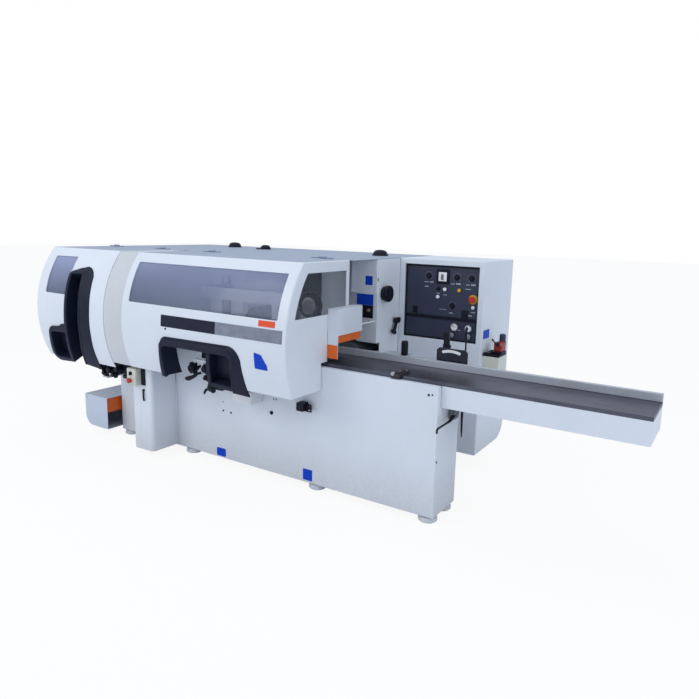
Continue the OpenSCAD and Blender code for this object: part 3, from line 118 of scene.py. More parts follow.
both = add(tree, "MixShader", {0: part_lit.outputs[0], 1: lit.outputs[0], 2: glow.outputs[0]})
tree.links.new(both.outputs[0], tree.nodes["Material Output"].inputs["Surface"])
floor_mesh.materials.append(floor_white)


# Bed: a long welded steel box, narrower at the infeed end. White paint over
# filler, a little dull, scuffed along its length and dirty near the floor.
def tone(r, g, b, share=1.0, lift=0.0):
    linear = [c / 255 / 12.92 if c <= 10 else ((c / 255 + 0.055) / 1.055) ** 2.4 for c in (r, g, b)]
    return tuple(min(1.0, c * share + lift) for c in linear) + (1.0,)


def ramp(tree, source, stops):
    made = add(tree, "ValToRGB", {"Fac": source})
    band = made.color_ramp
    while len(band.elements) < len(stops):
        band.elements.new(0.5)
    for element, (at, shade) in zip(band.elements, stops):
        element.position = at
        element.color = (shade, shade, shade, 1)
    return made.outputs["Color"]


def blend(tree, share, low, high):
    made = add(tree, "Mix", {0: share}, data_type="RGBA")
    for socket, value in ((made.inputs[6], low), (made.inputs[7], high)):
        if isinstance(value, bpy.types.NodeSocket):
            tree.links.new(value, socket)
        else:
            socket.default_value = value
    return made.outputs[2]


def noise(tree, where, scale, detail, rough=0.5):
    return add(tree, "TexNoise", {"Vector": where, "Scale": scale, "Detail": detail,
                                  "Roughness": rough}).outputs["Fac"]


def spread(tree, value, low, high, start, stop):
    return add(tree, "MapRange", {"Value": value, "From Min": low, "From Max": high,
                                  "To Min": start, "To Max": stop}).outputs[0]


def coat(name):
    finish = bpy.data.materials.new(name)
    finish.use_nodes = True
    tree = finish.node_tree
    return finish, tree, tree.nodes["Principled BSDF"], add(tree, "TexCoord").outputs["Object"]


def surfaced(tree, skin, body, sheen, relief, strength, distance):
    tree.links.new(body, skin.inputs["Base Color"])
    tree.links.new(sheen, skin.inputs["Roughness"])
    bump = add(tree, "Bump", {"Height": relief, "Strength": strength, "Distance": distance})
    tree.links.new(bump.outputs["Normal"], skin.inputs["Normal"])


def painted(name, colour, grime=0.45, gloss=0.36, peel=0.05, scuffs=0.12, shine=0.4):
    finish, tree, skin, where = coat(name)
    skin.inputs["Specular IOR Level"].default_value = shine
    patches = ramp(tree, noise(tree, where, 1.7, 5.0, 0.6), [(0.35, 0.0), (0.75, 1.0)])
    body = blend(tree, patches, tone(*colour), tone(*colour, 0.93))
    along = add(tree, "Mapping", {"Vector": where, "Scale": (3.0, 3.0, 22.0)}).outputs[0]
    drag = ramp(tree, noise(tree, along, 3.0, 8.0, 0.75), [(0.62, 0.0), (0.74, scuffs)])
    body = blend(tree, drag, body, tone(120, 118, 118))
    specks = noise(tree, where, 38.0, 6.0, 0.7)
    height = add(tree, "SeparateXYZ", {0: where}).outputs["Z"]
    low = spread(tree, height, 0.05, 0.36, grime, 0.0)
    dirt = add(tree, "Math", {0: low, 1: specks}, operation="MULTIPLY").outputs[0]
    body = blend(tree, dirt, body, tone(150, 142, 128))
    surfaced(tree, skin, body, spread(tree, specks, 0.3, 0.7, gloss - 0.06, gloss + 0.10),
             noise(tree, where, 420.0, 2.0), peel, 0.0006)
    return finish


def joined(shapes):
    whole = bmesh.new()
    for shape in shapes:
        mesh = bpy.data.meshes.new("part")
        shape.to_mesh(mesh)
        shape.free()
        whole.from_mesh(mesh)
        bpy.data.meshes.remove(mesh)
    return whole


def fitted(name, shape, body, finish, nodes=(), slot="own", crisp=38, moved=True):
    if isinstance(shape, list):
        shape = joined(shape)
    mesh = bpy.data.meshes.new(name)
    bmesh.ops.recalc_face_normals(shape, faces=shape.faces)
    shape.to_mesh(mesh)
    shape.free()
    if moved:
        mesh.transform(Matrix.Translation(bed_corner))
    mesh.polygons.foreach_set("use_smooth", [True] * len(mesh.polygons))
    mesh.set_sharp_from_angle(angle=math.radians(crisp))
    finishes = finish if isinstance(finish, list) else [finish]
    for coating in finishes:
        mesh.materials.append(coating)
    piece = bpy.data.objects.new(name, mesh)
    bpy.context.scene.collection.objects.link(piece)
    piece.modifiers.new("even_shading", "WEIGHTED_NORMAL").keep_sharp = True
    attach(piece, body)
    if slot == "own":
        slot = finishes[0].name.split(".")[0]
    if nodes:
        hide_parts(*nodes)


def eased(node, width, steps=2):
    shape = bmesh.new()
    shape.from_mesh(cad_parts[node].data)
    bmesh.ops.remove_doubles(shape, verts=shape.verts, dist=2e-5)
    bmesh.ops.dissolve_limit(shape, angle_limit=math.radians(0.6), verts=shape.verts, edges=shape.edges)
    keen = [e for e in shape.edges if e.is_manifold and e.calc_face_angle() > math.radians(35)]
    bmesh.ops.bevel(shape, geom=keen, offset=width, offset_type="OFFSET", segments=steps, profile=0.5,
                    affect="EDGES", clamp_overlap=True)
    return shape


def dressed(name, node, body, finish, width, steps=2, slot="own"):
    fitted(name, eased(node, width, steps), body, finish, [node], slot, moved=False)


white_paint = painted("white_paint", (219, 223, 231))
dressed("bed", "bed_frame", "base", white_paint, 0.006, 3)


# Bed plates: two plain squares of blue film with rounded corners, stuck low on
# the bed's front.
def rounded(corners, radius, steps=5):
    loop = []
    for i, spot in enumerate(corners):
        here, last, after = (Vector(p) for p in (spot, corners[i - 1], corners[(i + 1) % len(corners)]))
        to_last, to_next = (last - here).normalized(), (after - here).normalized()
        r = radius[i] if isinstance(radius, list) else radius
        half = math.acos(max(-1.0, min(1.0, to_last.dot(to_next)))) / 2
        if r <= 0.0 or half > 1.55:
            loop.append(tuple(here))
            continue
        reach = min(r / math.tan(half), 0.49 * (last - here).length, 0.49 * (after - here).length)
        r = reach * math.tan(half)
        middle = here + (to_last + to_next).normalized() * (r / math.sin(half))
        start, stop = here + to_last * reach - middle, here + to_next * reach - middle
        turn = start.angle_signed(stop)
        for k in range(steps + 1):
            a = -turn * k / steps
            loop.append((middle.x + start.x * math.cos(a) - start.y * math.sin(a),
                         middle.y + start.x * math.sin(a) + start.y * math.cos(a)))
    return loop


def panel(x0, x1, y0, y1, radius=0.0):
    return rounded([(x0, y0), (x1, y0), (x1, y1), (x0, y1)], radius)


def pressed(loops, thick, edge):
    curve = bpy.data.curves.new("sheet", "CURVE")
    curve.dimensions = "2D"
    curve.fill_mode = "BOTH"
    curve.extrude = thick / 2 - edge
    curve.bevel_depth = edge
    curve.bevel_resolution = 2
    curve.offset = -edge
    for loop in loops:
        spline = curve.splines.new("POLY")
        spline.points.add(len(loop) - 1)
        for point, (x, y) in zip(spline.points, loop):
            point.co = (x, y, 0.0, 1.0)
        spline.use_cyclic_u = True
    holder = bpy.data.objects.new("sheet", curve)
    bpy.context.scene.collection.objects.link(holder)
    mesh = bpy.data.meshes.new_from_object(holder.evaluated_get(bpy.context.evaluated_depsgraph_get()))
    shape = bmesh.new()
    shape.from_mesh(mesh)
    bmesh.ops.remove_doubles(shape, verts=shape.verts, dist=1e-6)
    bpy.data.objects.remove(holder)
    bpy.data.curves.remove(curve)
    bpy.data.meshes.remove(mesh)
    return shape


def plate(loops, thick, edge, side, at):
    shape = pressed(loops, thick, edge)
    for v in shape.verts:
        u, w, out = v.co
        v.co = {"front": (u, at - out, w), "end": (at + out, u, w), "top": (u, w, at + out)}[side]
    return shape


def film(x0, x1, y0, y1, radius, at, side="front", thick=0.0012, edge=0.0003):
    return plate([panel(x0, x1, y0, y1, radius)], thick, edge, side, at)


blue_film = painted("blue_film", (14, 66, 190), grime=0.0, scuffs=0.04, shine=0.12)
fitted("bed_plates", [film(-1.742, -1.653, 0.051, 0.112, 0.012, -0.0007),
                      film(-0.953, -0.877, 0.056, 0.133, 0.004, -0.0007)], "base", blue_film, slot=None)


# Bed screws: black blind screws and plugs in the bed's front and one in its
# end, with domed heads and a sunk drive.
def moulded(name, colour, rough=0.42, grain=0.10, pale=1.7, shine=0.28):
    finish, tree, skin, where = coat(name)
    skin.inputs["Specular IOR Level"].default_value = shine
    cloud = noise(tree, where, 14.0, 6.0, 0.65)
    rubbed = ramp(tree, cloud, [(0.40, 0.0), (0.75, 0.6)])
    body = blend(tree, rubbed, tone(*colour), tone(*colour, pale, 0.004))
    leather = add(tree, "TexVoronoi", {"Vector": where, "Scale": 900.0}).outputs["Distance"]
    surfaced(tree, skin, body, spread(tree, cloud, 0.3, 0.7, rough - 0.08, rough + 0.10),
             leather, grain, 0.0004)
    return finish


def turned(profile, spot, axis="Z", turns=32):
    shape = bmesh.new()
    rings = []
    for radius, along in profile:
        ring = []
        for i in range(turns):
            a = math.tau * i / turns
            c, s = radius * math.cos(a), radius * math.sin(a)
            offset = {"X": (along, c, s), "Y": (s, along, c), "Z": (c, s, along)}[axis]
            ring.append(shape.verts.new(Vector(spot) + Vector(offset)))
        rings.append(ring)
    for lower, upper in zip(rings, rings[1:]):
        for i in range(turns):
            j = (i + 1) % turns
            shape.faces.new((lower[i], lower[j], upper[j], upper[i]))
    shape.faces.new(rings[0][::-1])
    shape.faces.new(rings[-1])
    return shape


def screw(spot, axis, radius, way=1.0):
    head = [(1.0, 0.0), (1.0, 0.35), (0.85, 0.55), (0.5, 0.6), (0.42, 0.2)]
    return turned([(r * radius, way * h * radius) for r, h in head], spot, axis, 20)


black_plastic = moulded("black_plastic", (21, 22, 34), pale=1.5, shine=0.18)
front_screws = ((-1.369, 0.525, 0.012), (-1.223, 0.465, 0.013), (-1.672, 0.399, 0.007),
                (-1.598, 0.396, 0.007), (-1.673, 0.464, 0.004), (-1.183, 0.565, 0.005),
                (-1.205, 0.566, 0.005), (-0.059, 0.784, 0.007), (-0.036, 0.788, 0.005))
fitted("bed_screws", [screw((x, 0.0, z), "Y", r, -1.0) for x, z, r in front_screws]
       + [screw((0.0, 0.016, 0.387), "X", 0.006)], "base", black_plastic)

# Levelling feet: turned steel pads on threaded studs, painted over with the
# bed. Those under the cabinet have longer studs.
pad = [(0.052, 0.0), (0.058, 0.006), (0.058, 0.024), (0.050, 0.032), (0.015, 0.033)]
bed_stud, cabinet_stud, stud_r = 0.041, 0.121, 0.014
feet = [(x, 0.055, bed_stud) for x in (-0.0562, -0.8711, -2.0344, -2.7538)]
feet += [(-0.0562, 0.252, bed_stud), (-0.8711, 1.441, bed_stud), (-2.7538, 1.441, bed_stud),
         (-0.5102, 1.292, cabinet_stud), (-0.715, 1.292, cabinet_stud)]
fitted("feet", [turned(pad + [(stud_r, top)], (x, y, 0.0)) for x, y, top in feet], "base", white_paint,
       ["levelling_feet"], "bright_steel")


# Machine tables: ground cast iron plates and the fixed inner fence, bolted to
# the bed between the cutterheads.
def machined(name, colour, rough=0.32, grain=(2.0, 60.0, 60.0), stains=0.35, metal=1.0):
    finish, tree, skin, where = coat(name)
    skin.inputs["Metallic"].default_value = metal
    drawn = add(tree, "Mapping", {"Vector": where, "Scale": grain}).outputs[0]
    lines = noise(tree, drawn, 6.0, 8.0, 0.7)
    body = blend(tree, lines, tone(*colour), tone(*colour, 0.72))
    resin = ramp(tree, noise(tree, where, 5.0, 6.0, 0.65), [(0.52, 0.0), (0.72, stains)])
    body = blend(tree, resin, body, tone(60, 52, 48))
    surfaced(tree, skin, body, spread(tree, lines, 0.3, 0.7, rough - 0.08, rough + 0.12),
             lines, 0.12, 0.0004)
    return finish


table_steel = machined("table_steel", (104, 104, 116), rough=0.34, grain=(1.0, 40.0, 40.0))
dressed("machine_tables", "machine_table", "base", table_steel, 0.0015)

# Infeed table: a long ground plate on two guide posts, dark from timber and
# resin, with a white sheet apron under the part that reaches past the bed.
dressed("infeed_table_plate", "infeed_table", "infeed_table", table_steel, 0.002)
dressed("infeed_apron", "table_apron", "infeed_table", white_paint, 0.003)

# Infeed fence: a drawn aluminium bar along the back of the table, with the
# steel plate that carries its locking grip.
fence_metal = machined("fence_metal", (206, 209, 216), rough=0.42, grain=(1.0, 50.0, 50.0), stains=0.12,
                       metal=0.55)
dressed("fence_bar", "infeed_fence", "infeed_fence", fence_metal, 0.004, 3, "table_steel")

# Fence grip: a ribbed black handle moulded on a threaded stud, turned by hand
# to lock the fence.
grip_r, groove_r, rib_pitch = 0.023, 0.0215, 0.012
grip = [(0.005, 0.882), (0.005, 0.909), (0.019, 0.909), (0.022, 0.912), (grip_r, 0.920)]
for rib in range(5):
    base = 0.924 + rib * rib_pitch
    grip += [(groove_r, base), (grip_r, base + 0.003), (grip_r, base + 0.008), (groove_r, base + 0.011)]
grip += [(grip_r, 0.990), (0.021, 0.998), (0.015, 1.003), (0.006, 1.004)]
fitted("fence_grip_handle", turned(grip, (-0.423, 0.374, 0.0)), "fence_grip", black_plastic, ["fence_grip"])

# Spindles: cast iron housings with their motors, bolted in the bed and behind
# the fence, under a rough grey casting paint.
cast_paint = painted("cast_paint", (104, 112, 120), grime=0.2, gloss=0.45, peel=0.3)
dressed("spindles", "spindle_units", "base", cast_paint, 0.002, slot="cast")

# Cutterheads: turned steel blocks with four knife slots, each on a spindle
# nose: two below the board, one at each side and one above.
bright_steel = machined("bright_steel", (186, 188, 192))
for head in ("bottom_cutterhead", "right_cutterhead", "left_cutterhead", "top_cutterhead",
             "second_cutterhead"):
    dressed(head + "_block", head, head, bright_steel, 0.001)

# Feed: a painted beam that rides on two ground columns and carries the
# toothed steel feed rollers on its arms.
dressed("columns", "feed_columns", "base", bright_steel, 0.002)
dressed("feed_beam_casting", "feed_beam", "feed_beam", white_paint, 0.004)
for roller in ("front_roller", "middle_roller", "rear_roller"):
    dressed(roller + "_wheel", roller, roller, bright_steel, 0.0015)


# Pressure wheel: a black tyre on a steel hub and shaft stub, on the nose of
# the feed beam behind the end window.
def front_turned(x, z, profile, turns=32):
    return turned(profile, (x, 0.0, z), "Y", turns)


wheel_x, wheel_z = -1.062, 1.190
fitted("pressure_wheel_tyre", front_turned(wheel_x, wheel_z, [
    (0.058, 0.186), (0.080, 0.187), (0.086, 0.192), (0.086, 0.228), (0.080, 0.233), (0.058, 0.234)], 48),
    "feed_beam", black_plastic)
fitted("pressure_wheel_hub", [
    front_turned(wheel_x, wheel_z, [(0.057, 0.1885), (0.057, 0.1855), (0.050, 0.184), (0.030, 0.184),
                                    (0.026, 0.180), (0.012, 0.180)], 40),
    front_turned(-1.075, wheel_z, [(0.014, 0.230), (0.014, 0.2415)], 20)], "feed_beam", bright_steel)


# Rear housing: a folded sheet frame behind the bed, closed by covers with
# pressed louvres on steel screws, seams behind their joints and dark filter
# mats behind the louvres.
def trimmed(shape, y, way):
    cut = bmesh.ops.bisect_plane(shape, geom=shape.verts[:] + shape.edges[:] + shape.faces[:], dist=1e-6,
                                 plane_co=bed_corner + Vector((0.0, y, 0.0)), plane_no=(0.0, way, 0.0),
                                 clear_outer=True)
    edges = [e for e in cut["geom_cut"] if isinstance(e, bmesh.types.BMEdge)]
    bmesh.ops.triangle_fill(shape, use_beauty=True, use_dissolve=False, edges=edges)
    return shape


def brick(x0, x1, y0, y1, z0, z1, edge=0.002, steps=2):
    shape = bmesh.new()
    for v in bmesh.ops.create_cube(shape, size=1.0)["verts"]:
        v.co = Vector((x0 if v.co.x < 0 else x1, y0 if v.co.y < 0 else y1, z0 if v.co.z < 0 else z1))
    if edge:
        bmesh.ops.bevel(shape, geom=shape.edges[:], offset=edge, offset_type="OFFSET", segments=steps,
                        profile=0.5, affect="EDGES", clamp_overlap=True)
    return shape


fitted("rear_frame", trimmed(eased("rear_housing", 0.0012), 1.4955, 1.0), "base", white_paint,
       ["rear_housing"], moved=False)
vents = (-2.4026, -1.8934, -1.3841)
louvre_half, louvre_low, louvre_high, louvre_pitch = 0.120, 0.913, 0.922, 0.026
screw_in, screw_head = 0.024, [(0.0065, 1.4988), (0.0065, 1.4995), (0.005, 1.5000), (0.003, 1.5000),
                               (0.0026, 1.4992)]
covers, cover_screws = [], []
for x0, x1, z0, z1 in ((-3.313, -2.812, 0.652, 1.499), (-2.808, -2.150, 0.123, 1.499),
                       (-2.146, -1.641, 0.123, 1.499), (-1.637, -0.775, 0.123, 1.499)):
    loops = [panel(x0, x1, z0, z1, 0.006)]
    for vent in [v for v in vents if x0 < v < x1]:
        loops += [panel(vent - louvre_half, vent + louvre_half, louvre_low + louvre_pitch * k,
                        louvre_high + louvre_pitch * k, 0.004)[::-1] for k in range(6)]
    covers.append(plate(loops, 0.003, 0.001, "front", 1.4975))
    for z in [z0 + 0.03 + (z1 - z0 - 0.06) * k / 4 for k in range(5)]:
        cover_screws += [front_turned(x, z, screw_head, 16) for x in (x0 + screw_in, x1 - screw_in)]
fitted("rear_covers", covers, "base", white_paint)
fitted("rear_cover_screws", cover_screws, "base", bright_steel)
fitted("rear_seams", [brick(x - 0.022, x + 0.022, 1.4885, 1.4958, z, 1.498, 0.001) for x, z in (
    (-2.810, 0.654), (-2.148, 0.126), (-1.639, 0.126))], "base", white_paint)
filter_mat = moulded("filter_mat", (62, 64, 70), rough=0.8, grain=0.6, pale=1.3)
fitted("louvre_filters", [film(x - 0.130, x + 0.130, 0.905, 1.072, 0.004, 1.4940, thick=0.003, edge=0.001)
                          for x in vents], "base", filter_mat, slot="grey_plate")

# Roof: a flat grey sheet with the fixed hinge leaves along its front, and
# moulded black caps over the extraction holes, the middle one a small dome on
# a flat flange.
roof_z = 1.505
grey_paint = painted("grey_paint", (150, 160, 180), grime=0.0, gloss=0.42)
dressed("roof_sheet", "roof_panel", "base", grey_paint, 0.0012)
cap = [(0.060, 0.0), (0.062, 0.003), (0.062, 0.010), (0.056, 0.013), (0.055, 0.018), (0.052, 0.026),
       (0.043, 0.036), (0.030, 0.042), (0.012, 0.044)]
fitted("roof_caps", [turned(cap, (x, y, roof_z), turns=40) for x, y in ((-1.030, 1.062), (-2.708, 1.229))],
       "base", black_plastic, ["extraction_caps"])
flange = [(0.064, 0.0), (0.066, 0.002), (0.066, 0.007), (0.060, 0.010), (0.020, 0.010)]
dome = [(0.042, 0.008), (0.043, 0.012), (0.041, 0.022), (0.034, 0.031), (0.022, 0.036), (0.008, 0.038)]
fitted("roof_small_cap", [turned(flange, (-2.262, 1.118, roof_z), turns=40),
                          turned(dome, (-2.238, 1.118, roof_z), turns=36)], "base", black_plastic)

# Column cover: the white end wall over the infeed, with the post and the head
# box of the top spindle in front of it, plain plates and a small brass knob.
dressed("end_wall", "column_cover", "base", white_paint, 0.004, 3)
fitted("head_lid", film(-0.932, -0.779, 1.416, 1.493, 0.006, 0.5874, thick=0.003, edge=0.0012), "base",
       white_paint)
fitted("head_plates", [film(-0.866, -0.808, 1.320, 1.384, 0.003, 0.5883),
                       film(-0.941, -0.804, 1.177, 1.254, 0.002, 0.5993)], "base", blue_film, slot=None)
fitted("post_scale", [
    film(-0.895, -0.804, 1.087, 1.176, 0.002, 0.5979, thick=0.004, edge=0.0006),
    film(0.598, 0.610, 1.348, 1.372, 0.0058, -0.7724, "end", 0.001, 0.0002),
    screw((-0.838, 0.600, 1.062), "Y", 0.005, -1.0), screw((-0.802, 0.600, 1.061), "Y", 0.005, -1.0)],
    "base", black_plastic)
brass = machined("brass", (206, 190, 150), rough=0.28, stains=0.2)
post_knob = [(0.012, 0.0), (0.014, -0.003), (0.014, -0.010), (0.011, -0.014), (0.004, -0.015)]
fitted("post_knob", turned(post_knob, (-0.836, 0.596, 1.143), "Y"), "base", brass, slot="bright_steel")

# Pressure knob: a large round black moulding with a grip bar across its face,
# on a shaft through the end wall.
fitted("pressure_knob", [
    turned([(0.009, -0.778), (0.009, -0.7715), (0.046, -0.7715), (0.050, -0.768), (0.052, -0.752),
            (0.057, -0.748), (0.058, -0.744), (0.058, -0.727), (0.055, -0.722), (0.049, -0.7205),
            (0.046, -0.724), (0.020, -0.726)], (0.0, 0.688, 1.259), "X", 48),
    brick(-0.730, -0.7192, 0.677, 0.699, 1.211, 1.307, 0.004, 3)],
    "wall_knob", black_plastic, ["wall_knob"])


# Clamp lever: a black moulded lever with a thick boss and end, set at a slant
# on a shaft through the end wall.
def swung(shape, angle, axis, spot):
    bmesh.ops.rotate(shape, verts=shape.verts, cent=(0, 0, 0), matrix=Matrix.Rotation(angle, 3, axis))
    bmesh.ops.translate(shape, verts=shape.verts, vec=spot)
    return shape


clamp_hub, slant = (0.0, 0.857, 1.050), math.radians(-26)
fitted("clamp_lever", [
    swung(brick(-0.759, -0.743, -0.014, 0.014, -0.084, 0.0, 0.005, 3), slant, "X", clamp_hub),
    swung(brick(-0.760, -0.735, -0.034, 0.019, -0.107, -0.078, 0.009, 3), slant, "X", clamp_hub),
    swung(brick(-0.761, -0.733, -0.036, 0.032, -0.012, 0.022, 0.009, 3), 0.0, "X", clamp_hub),
    turned([(0.009, -0.778), (0.009, -0.772), (0.020, -0.772), (0.020, -0.735), (0.016, -0.731),
            (0.006, -0.731)], clamp_hub, "X")], "wall_lever", black_plastic, ["wall_lever"])

# Control cabinet: a tall white folded sheet box with a rounded lower back
# corner, a flat cover let in low on its side and a plain blue plate above it.
dressed("cabinet", "control_cabinet", "base", white_paint, 0.004, 3)
fitted("cabinet_side_cover", film(0.926, 1.178, 0.126, 0.840, 0.004, -0.1148, "end", 0.0030, 0.0010), "base",
       white_paint)
fitted("cabinet_plate", film(0.955, 1.070, 0.966, 1.028, 0.004, -0.1153, "end"), "base", blue_film,
       slot=None)

# Control panel: a dark painted plate let into the cabinet, framed by a black
# ring that is painted shade for the shadow gap round it, with black switch
# bodies and a square white display.
panel_paint = painted("panel_paint", (50, 56, 76), grime=0.0, gloss=0.45, scuffs=0.25)
fitted("panel_plate", trimmed(eased("control_panel", 0.0012), 0.9462, -1.0), "base", panel_paint,
       ["control_panel"], moved=False)
# The black ring round the opening is painted shade standing for the shadow gap; the rail, the blocks, the
# display bezel and the knob are black parts.
fitted("panel_shadow_ring_and_trim", [
    plate([panel(-0.7325, -0.1565, 0.9315, 1.4655, 0.004), panel(-0.722, -0.168, 0.943, 1.452, 0.003)[::-1]],
          0.008, 0.002, "front", 0.942),
    brick(-0.722, -0.168, 0.9405, 0.946, 1.078, 1.102, 0.0015),
    brick(-0.668, -0.630, 0.9425, 0.946, 1.108, 1.158, 0.001),
    brick(-0.282, -0.232, 0.9405, 0.946, 1.104, 1.158, 0.0015),
    film(-0.487, -0.387, 1.334, 1.438, 0.006, 0.9425, thick=0.0070, edge=0.002),
    front_turned(-0.470, 1.297, [(0.013, 0.946), (0.013, 0.938), (0.011, 0.933), (0.005, 0.932)])],
    "base", black_plastic)
white_plastic = moulded("white_plastic", (235, 236, 236), rough=0.3, grain=0.02, pale=1.0)
fitted("panel_display", film(-0.468, -0.406, 1.353, 1.417, 0.003, 0.9376, thick=0.0030, edge=0.001), "base",
       white_plastic)
grey_plate = moulded("grey_plate", (104, 106, 114), rough=0.4, grain=0.02)
fitted("display_figure", brick(-0.450, -0.428, 0.9352, 0.9362, 1.362, 1.402, 0.0), "base", grey_plate)

# Dials: black turned knobs with a pointer bar, each in a ring of eleven ticks
# that are printed on the panel with short plain bars between them.
dials = (("height_dial", -0.548, 1.386), ("speed_dial", -0.330, 1.386), ("feed_dial", -0.220, 1.386),
         ("mode_selector", -0.355, 1.183))
dial_ring = [(0.019, 0.9455), (0.020, 0.9445), (0.020, 0.9400), (0.0165, 0.9385), (0.0150, 0.9265),
             (0.0135, 0.9255), (0.004, 0.9255)]
print_back, print_front = 0.9459, 0.9452
marks = []
for dial, x, z in dials:
    marks += [swung(brick(0.026, 0.031, print_front, print_back, -0.0009, 0.0009, 0.0),
                    math.radians(-225 + 27 * k), "Y", (x, 0.0, z)) for k in range(11)]
    pointer = brick(x - 0.0035, x + 0.0035, 0.9257, 0.9390, z - 0.019, z + 0.019, 0.0015)
    fitted(dial + "_knob", [front_turned(x, z, dial_ring), pointer], dial, black_plastic, [dial])
for x0, x1, z0, z1 in ((-0.585, -0.548, 1.338, 1.343), (-0.538, -0.510, 1.338, 1.346),
                       (-0.578, -0.548, 1.305, 1.312), (-0.372, -0.345, 1.336, 1.341),
                       (-0.335, -0.300, 1.336, 1.346), (-0.260, -0.232, 1.336, 1.341),
                       (-0.222, -0.190, 1.336, 1.346), (-0.262, -0.222, 1.306, 1.311),
                       (-0.482, -0.458, 1.262, 1.267), (-0.428, -0.402, 1.254, 1.259),
                       (-0.455, -0.400, 1.150, 1.153), (-0.378, -0.350, 1.128, 1.134),
                       (-0.212, -0.180, 1.146, 1.151), (-0.232, -0.204, 1.120, 1.127),
                       (-0.310, -0.282, 1.010, 1.015)):
    marks.append(brick(x0, x1, print_front, print_back, z0, z1, 0.0))
mark_film = moulded("mark_film", (168, 172, 184), rough=0.4, grain=0.0, pale=1.1)
fitted("panel_marks", marks, "base", mark_film, slot="grey_plate")

# Buttons: white and yellow push buttons, and a red mushroom stop over a round
# yellow plate.
yellow_plastic = moulded("yellow_plastic", (214, 166, 42), rough=0.3, grain=0.02, pale=1.1)
red_plastic = moulded("red_plastic", (190, 46, 46), rough=0.3, grain=0.02, pale=1.15)
for button, plastic in (("start_button", white_plastic), ("jog_button", white_plastic),
                        ("yellow_button", yellow_plastic)):
    dressed(button + "_cap", button, button, plastic, 0.003, 3)
stop_x, stop_z = -0.202, 1.239
fitted("emergency_stop_cap", front_turned(stop_x, stop_z, [
    (0.012, 0.941), (0.012, 0.930), (0.020, 0.929), (0.024, 0.925), (0.024, 0.919), (0.021, 0.9145),
    (0.012, 0.913)], 40), "emergency_stop", red_plastic, ["emergency_stop"])
fitted("stop_plate", front_turned(stop_x, stop_z, [
    (0.033, 0.9459), (0.033, 0.9445), (0.031, 0.944), (0.0145, 0.944), (0.0145, 0.9459)], 40), "base",
    yellow_plastic)

# Gauges: two air gauges with steel rims, white faces and black needles, the
# regulators' steel knobs below them, and a white lamp above.
gauge_faces, gauge_rims, needles = [], [], []
for x, z, r in ((-0.327, 1.034, 0.026), (-0.221, 1.034, 0.024)):
    gauge_rims.append(front_turned(x, z, [(r + 0.003, 0.9462), (r + 0.004, 0.934), (r + 0.002, 0.930),
                                          (r - 0.002, 0.930), (r - 0.003, 0.9335)], 40))
    gauge_faces.append(front_turned(x, z, [(r - 0.003, 0.9330), (r - 0.003, 0.9322), (0.004, 0.9322)], 40))
    needles.append(swung(brick(-0.0014, 0.0014, 0.9306, 0.9316, -0.004, r - 0.006, 0.0), -0.8, "Y",
                         (x, 0.0, z)))
for x in (-0.344, -0.217):
    gauge_rims.append(front_turned(x, 0.975, [(0.010, 0.946), (0.010, 0.936), (0.017, 0.934), (0.017, 0.929),
                                              (0.014, 0.928), (0.005, 0.928)]))
gauge_faces.append(front_turned(-0.198, 1.183, [(0.013, 0.946), (0.013, 0.940), (0.010, 0.936),
                                                (0.004, 0.936)]))
fitted("gauge_needles", needles, "base", black_plastic)
fitted("gauge_rims", gauge_rims, "base", bright_steel)
fitted("gauge_faces", gauge_faces, "base", white_plastic)

# Lubricant tank: a beige painted sheet tank hung on the cabinet's side, with a
# dark lid, a filler cap and a dip rod.
tank_top = 0.850
beige_paint = painted("beige_paint", (208, 208, 196), grime=0.0)
fitted("tank", brick(-0.116, 0.006, 0.960, 1.110, 0.560, tank_top, 0.004, 3), "base", beige_paint,
       ["lubricant_tank"])
fitted("tank_lid", [
    brick(-0.116, 0.006, 0.960, 1.110, tank_top, 0.864, 0.003),
    turned([(0.020, 0.864), (0.020, 0.872), (0.017, 0.876), (0.004, 0.877)], (-0.080, 1.078, 0.0)),
    turned([(0.0045, 0.864), (0.0045, 0.890), (0.002, 0.892)], (-0.060, 0.990, 0.0), turns=16)],
    "base", black_plastic, slot="black_paint")


# Lubricant pump: a red cast body with two ears on a black foot, a dark bowl on
# top, and a black hand lever that turns between the ears.
def tube(path, radius, turns=14):
    shape = bmesh.new()
    spots = [Vector(p) for p in path]
    side = None
    rings = []
    for i, spot in enumerate(spots):
        ahead = (spots[min(i + 1, len(spots) - 1)] - spots[max(i - 1, 0)]).normalized()
        if side is None:
            side = ahead.orthogonal().normalized()
        side = (side - ahead * side.dot(ahead)).normalized()
        up = ahead.cross(side)
        r = radius[i] if isinstance(radius, list) else radius
        angles = [math.tau * k / turns for k in range(turns)]
        rings.append([shape.verts.new(spot + (side * math.cos(a) + up * math.sin(a)) * r) for a in angles])
    for lower, upper in zip(rings, rings[1:]):
        for k in range(turns):
            shape.faces.new((lower[k], lower[(k + 1) % turns], upper[(k + 1) % turns], upper[k]))
    shape.faces.new(rings[0][::-1])
    shape.faces.new(rings[-1])
    return shape


bowl_x, bowl_y = -0.016, 1.076
pump_red = painted("pump_red", (150, 58, 48), grime=0.0, scuffs=0.4)
fitted("pump_body", [
    brick(-0.058, 0.004, 1.014, 1.106, 0.878, 0.944, 0.012, 3),
    turned([(0.027, 0.940), (0.027, 0.948), (0.024, 0.951), (0.010, 0.951)], (bowl_x, bowl_y, 0.0)),
    brick(-0.0446, -0.0334, 0.986, 1.022, 0.9258, 0.9498, 0.002),
    brick(-0.0082, 0.0030, 0.986, 1.022, 0.9258, 0.9498, 0.002)], "base", pump_red, slot="red_plastic")
fitted("pump_foot", [brick(-0.066, 0.006, 1.006, 1.110, 0.864, 0.880, 0.003),
                     brick(-0.112, -0.066, 0.964, 1.000, 0.864, 0.872, 0.002)], "base", black_plastic)
bowl_plastic = moulded("bowl_plastic", (52, 57, 78), rough=0.2, grain=0.0, pale=1.2)
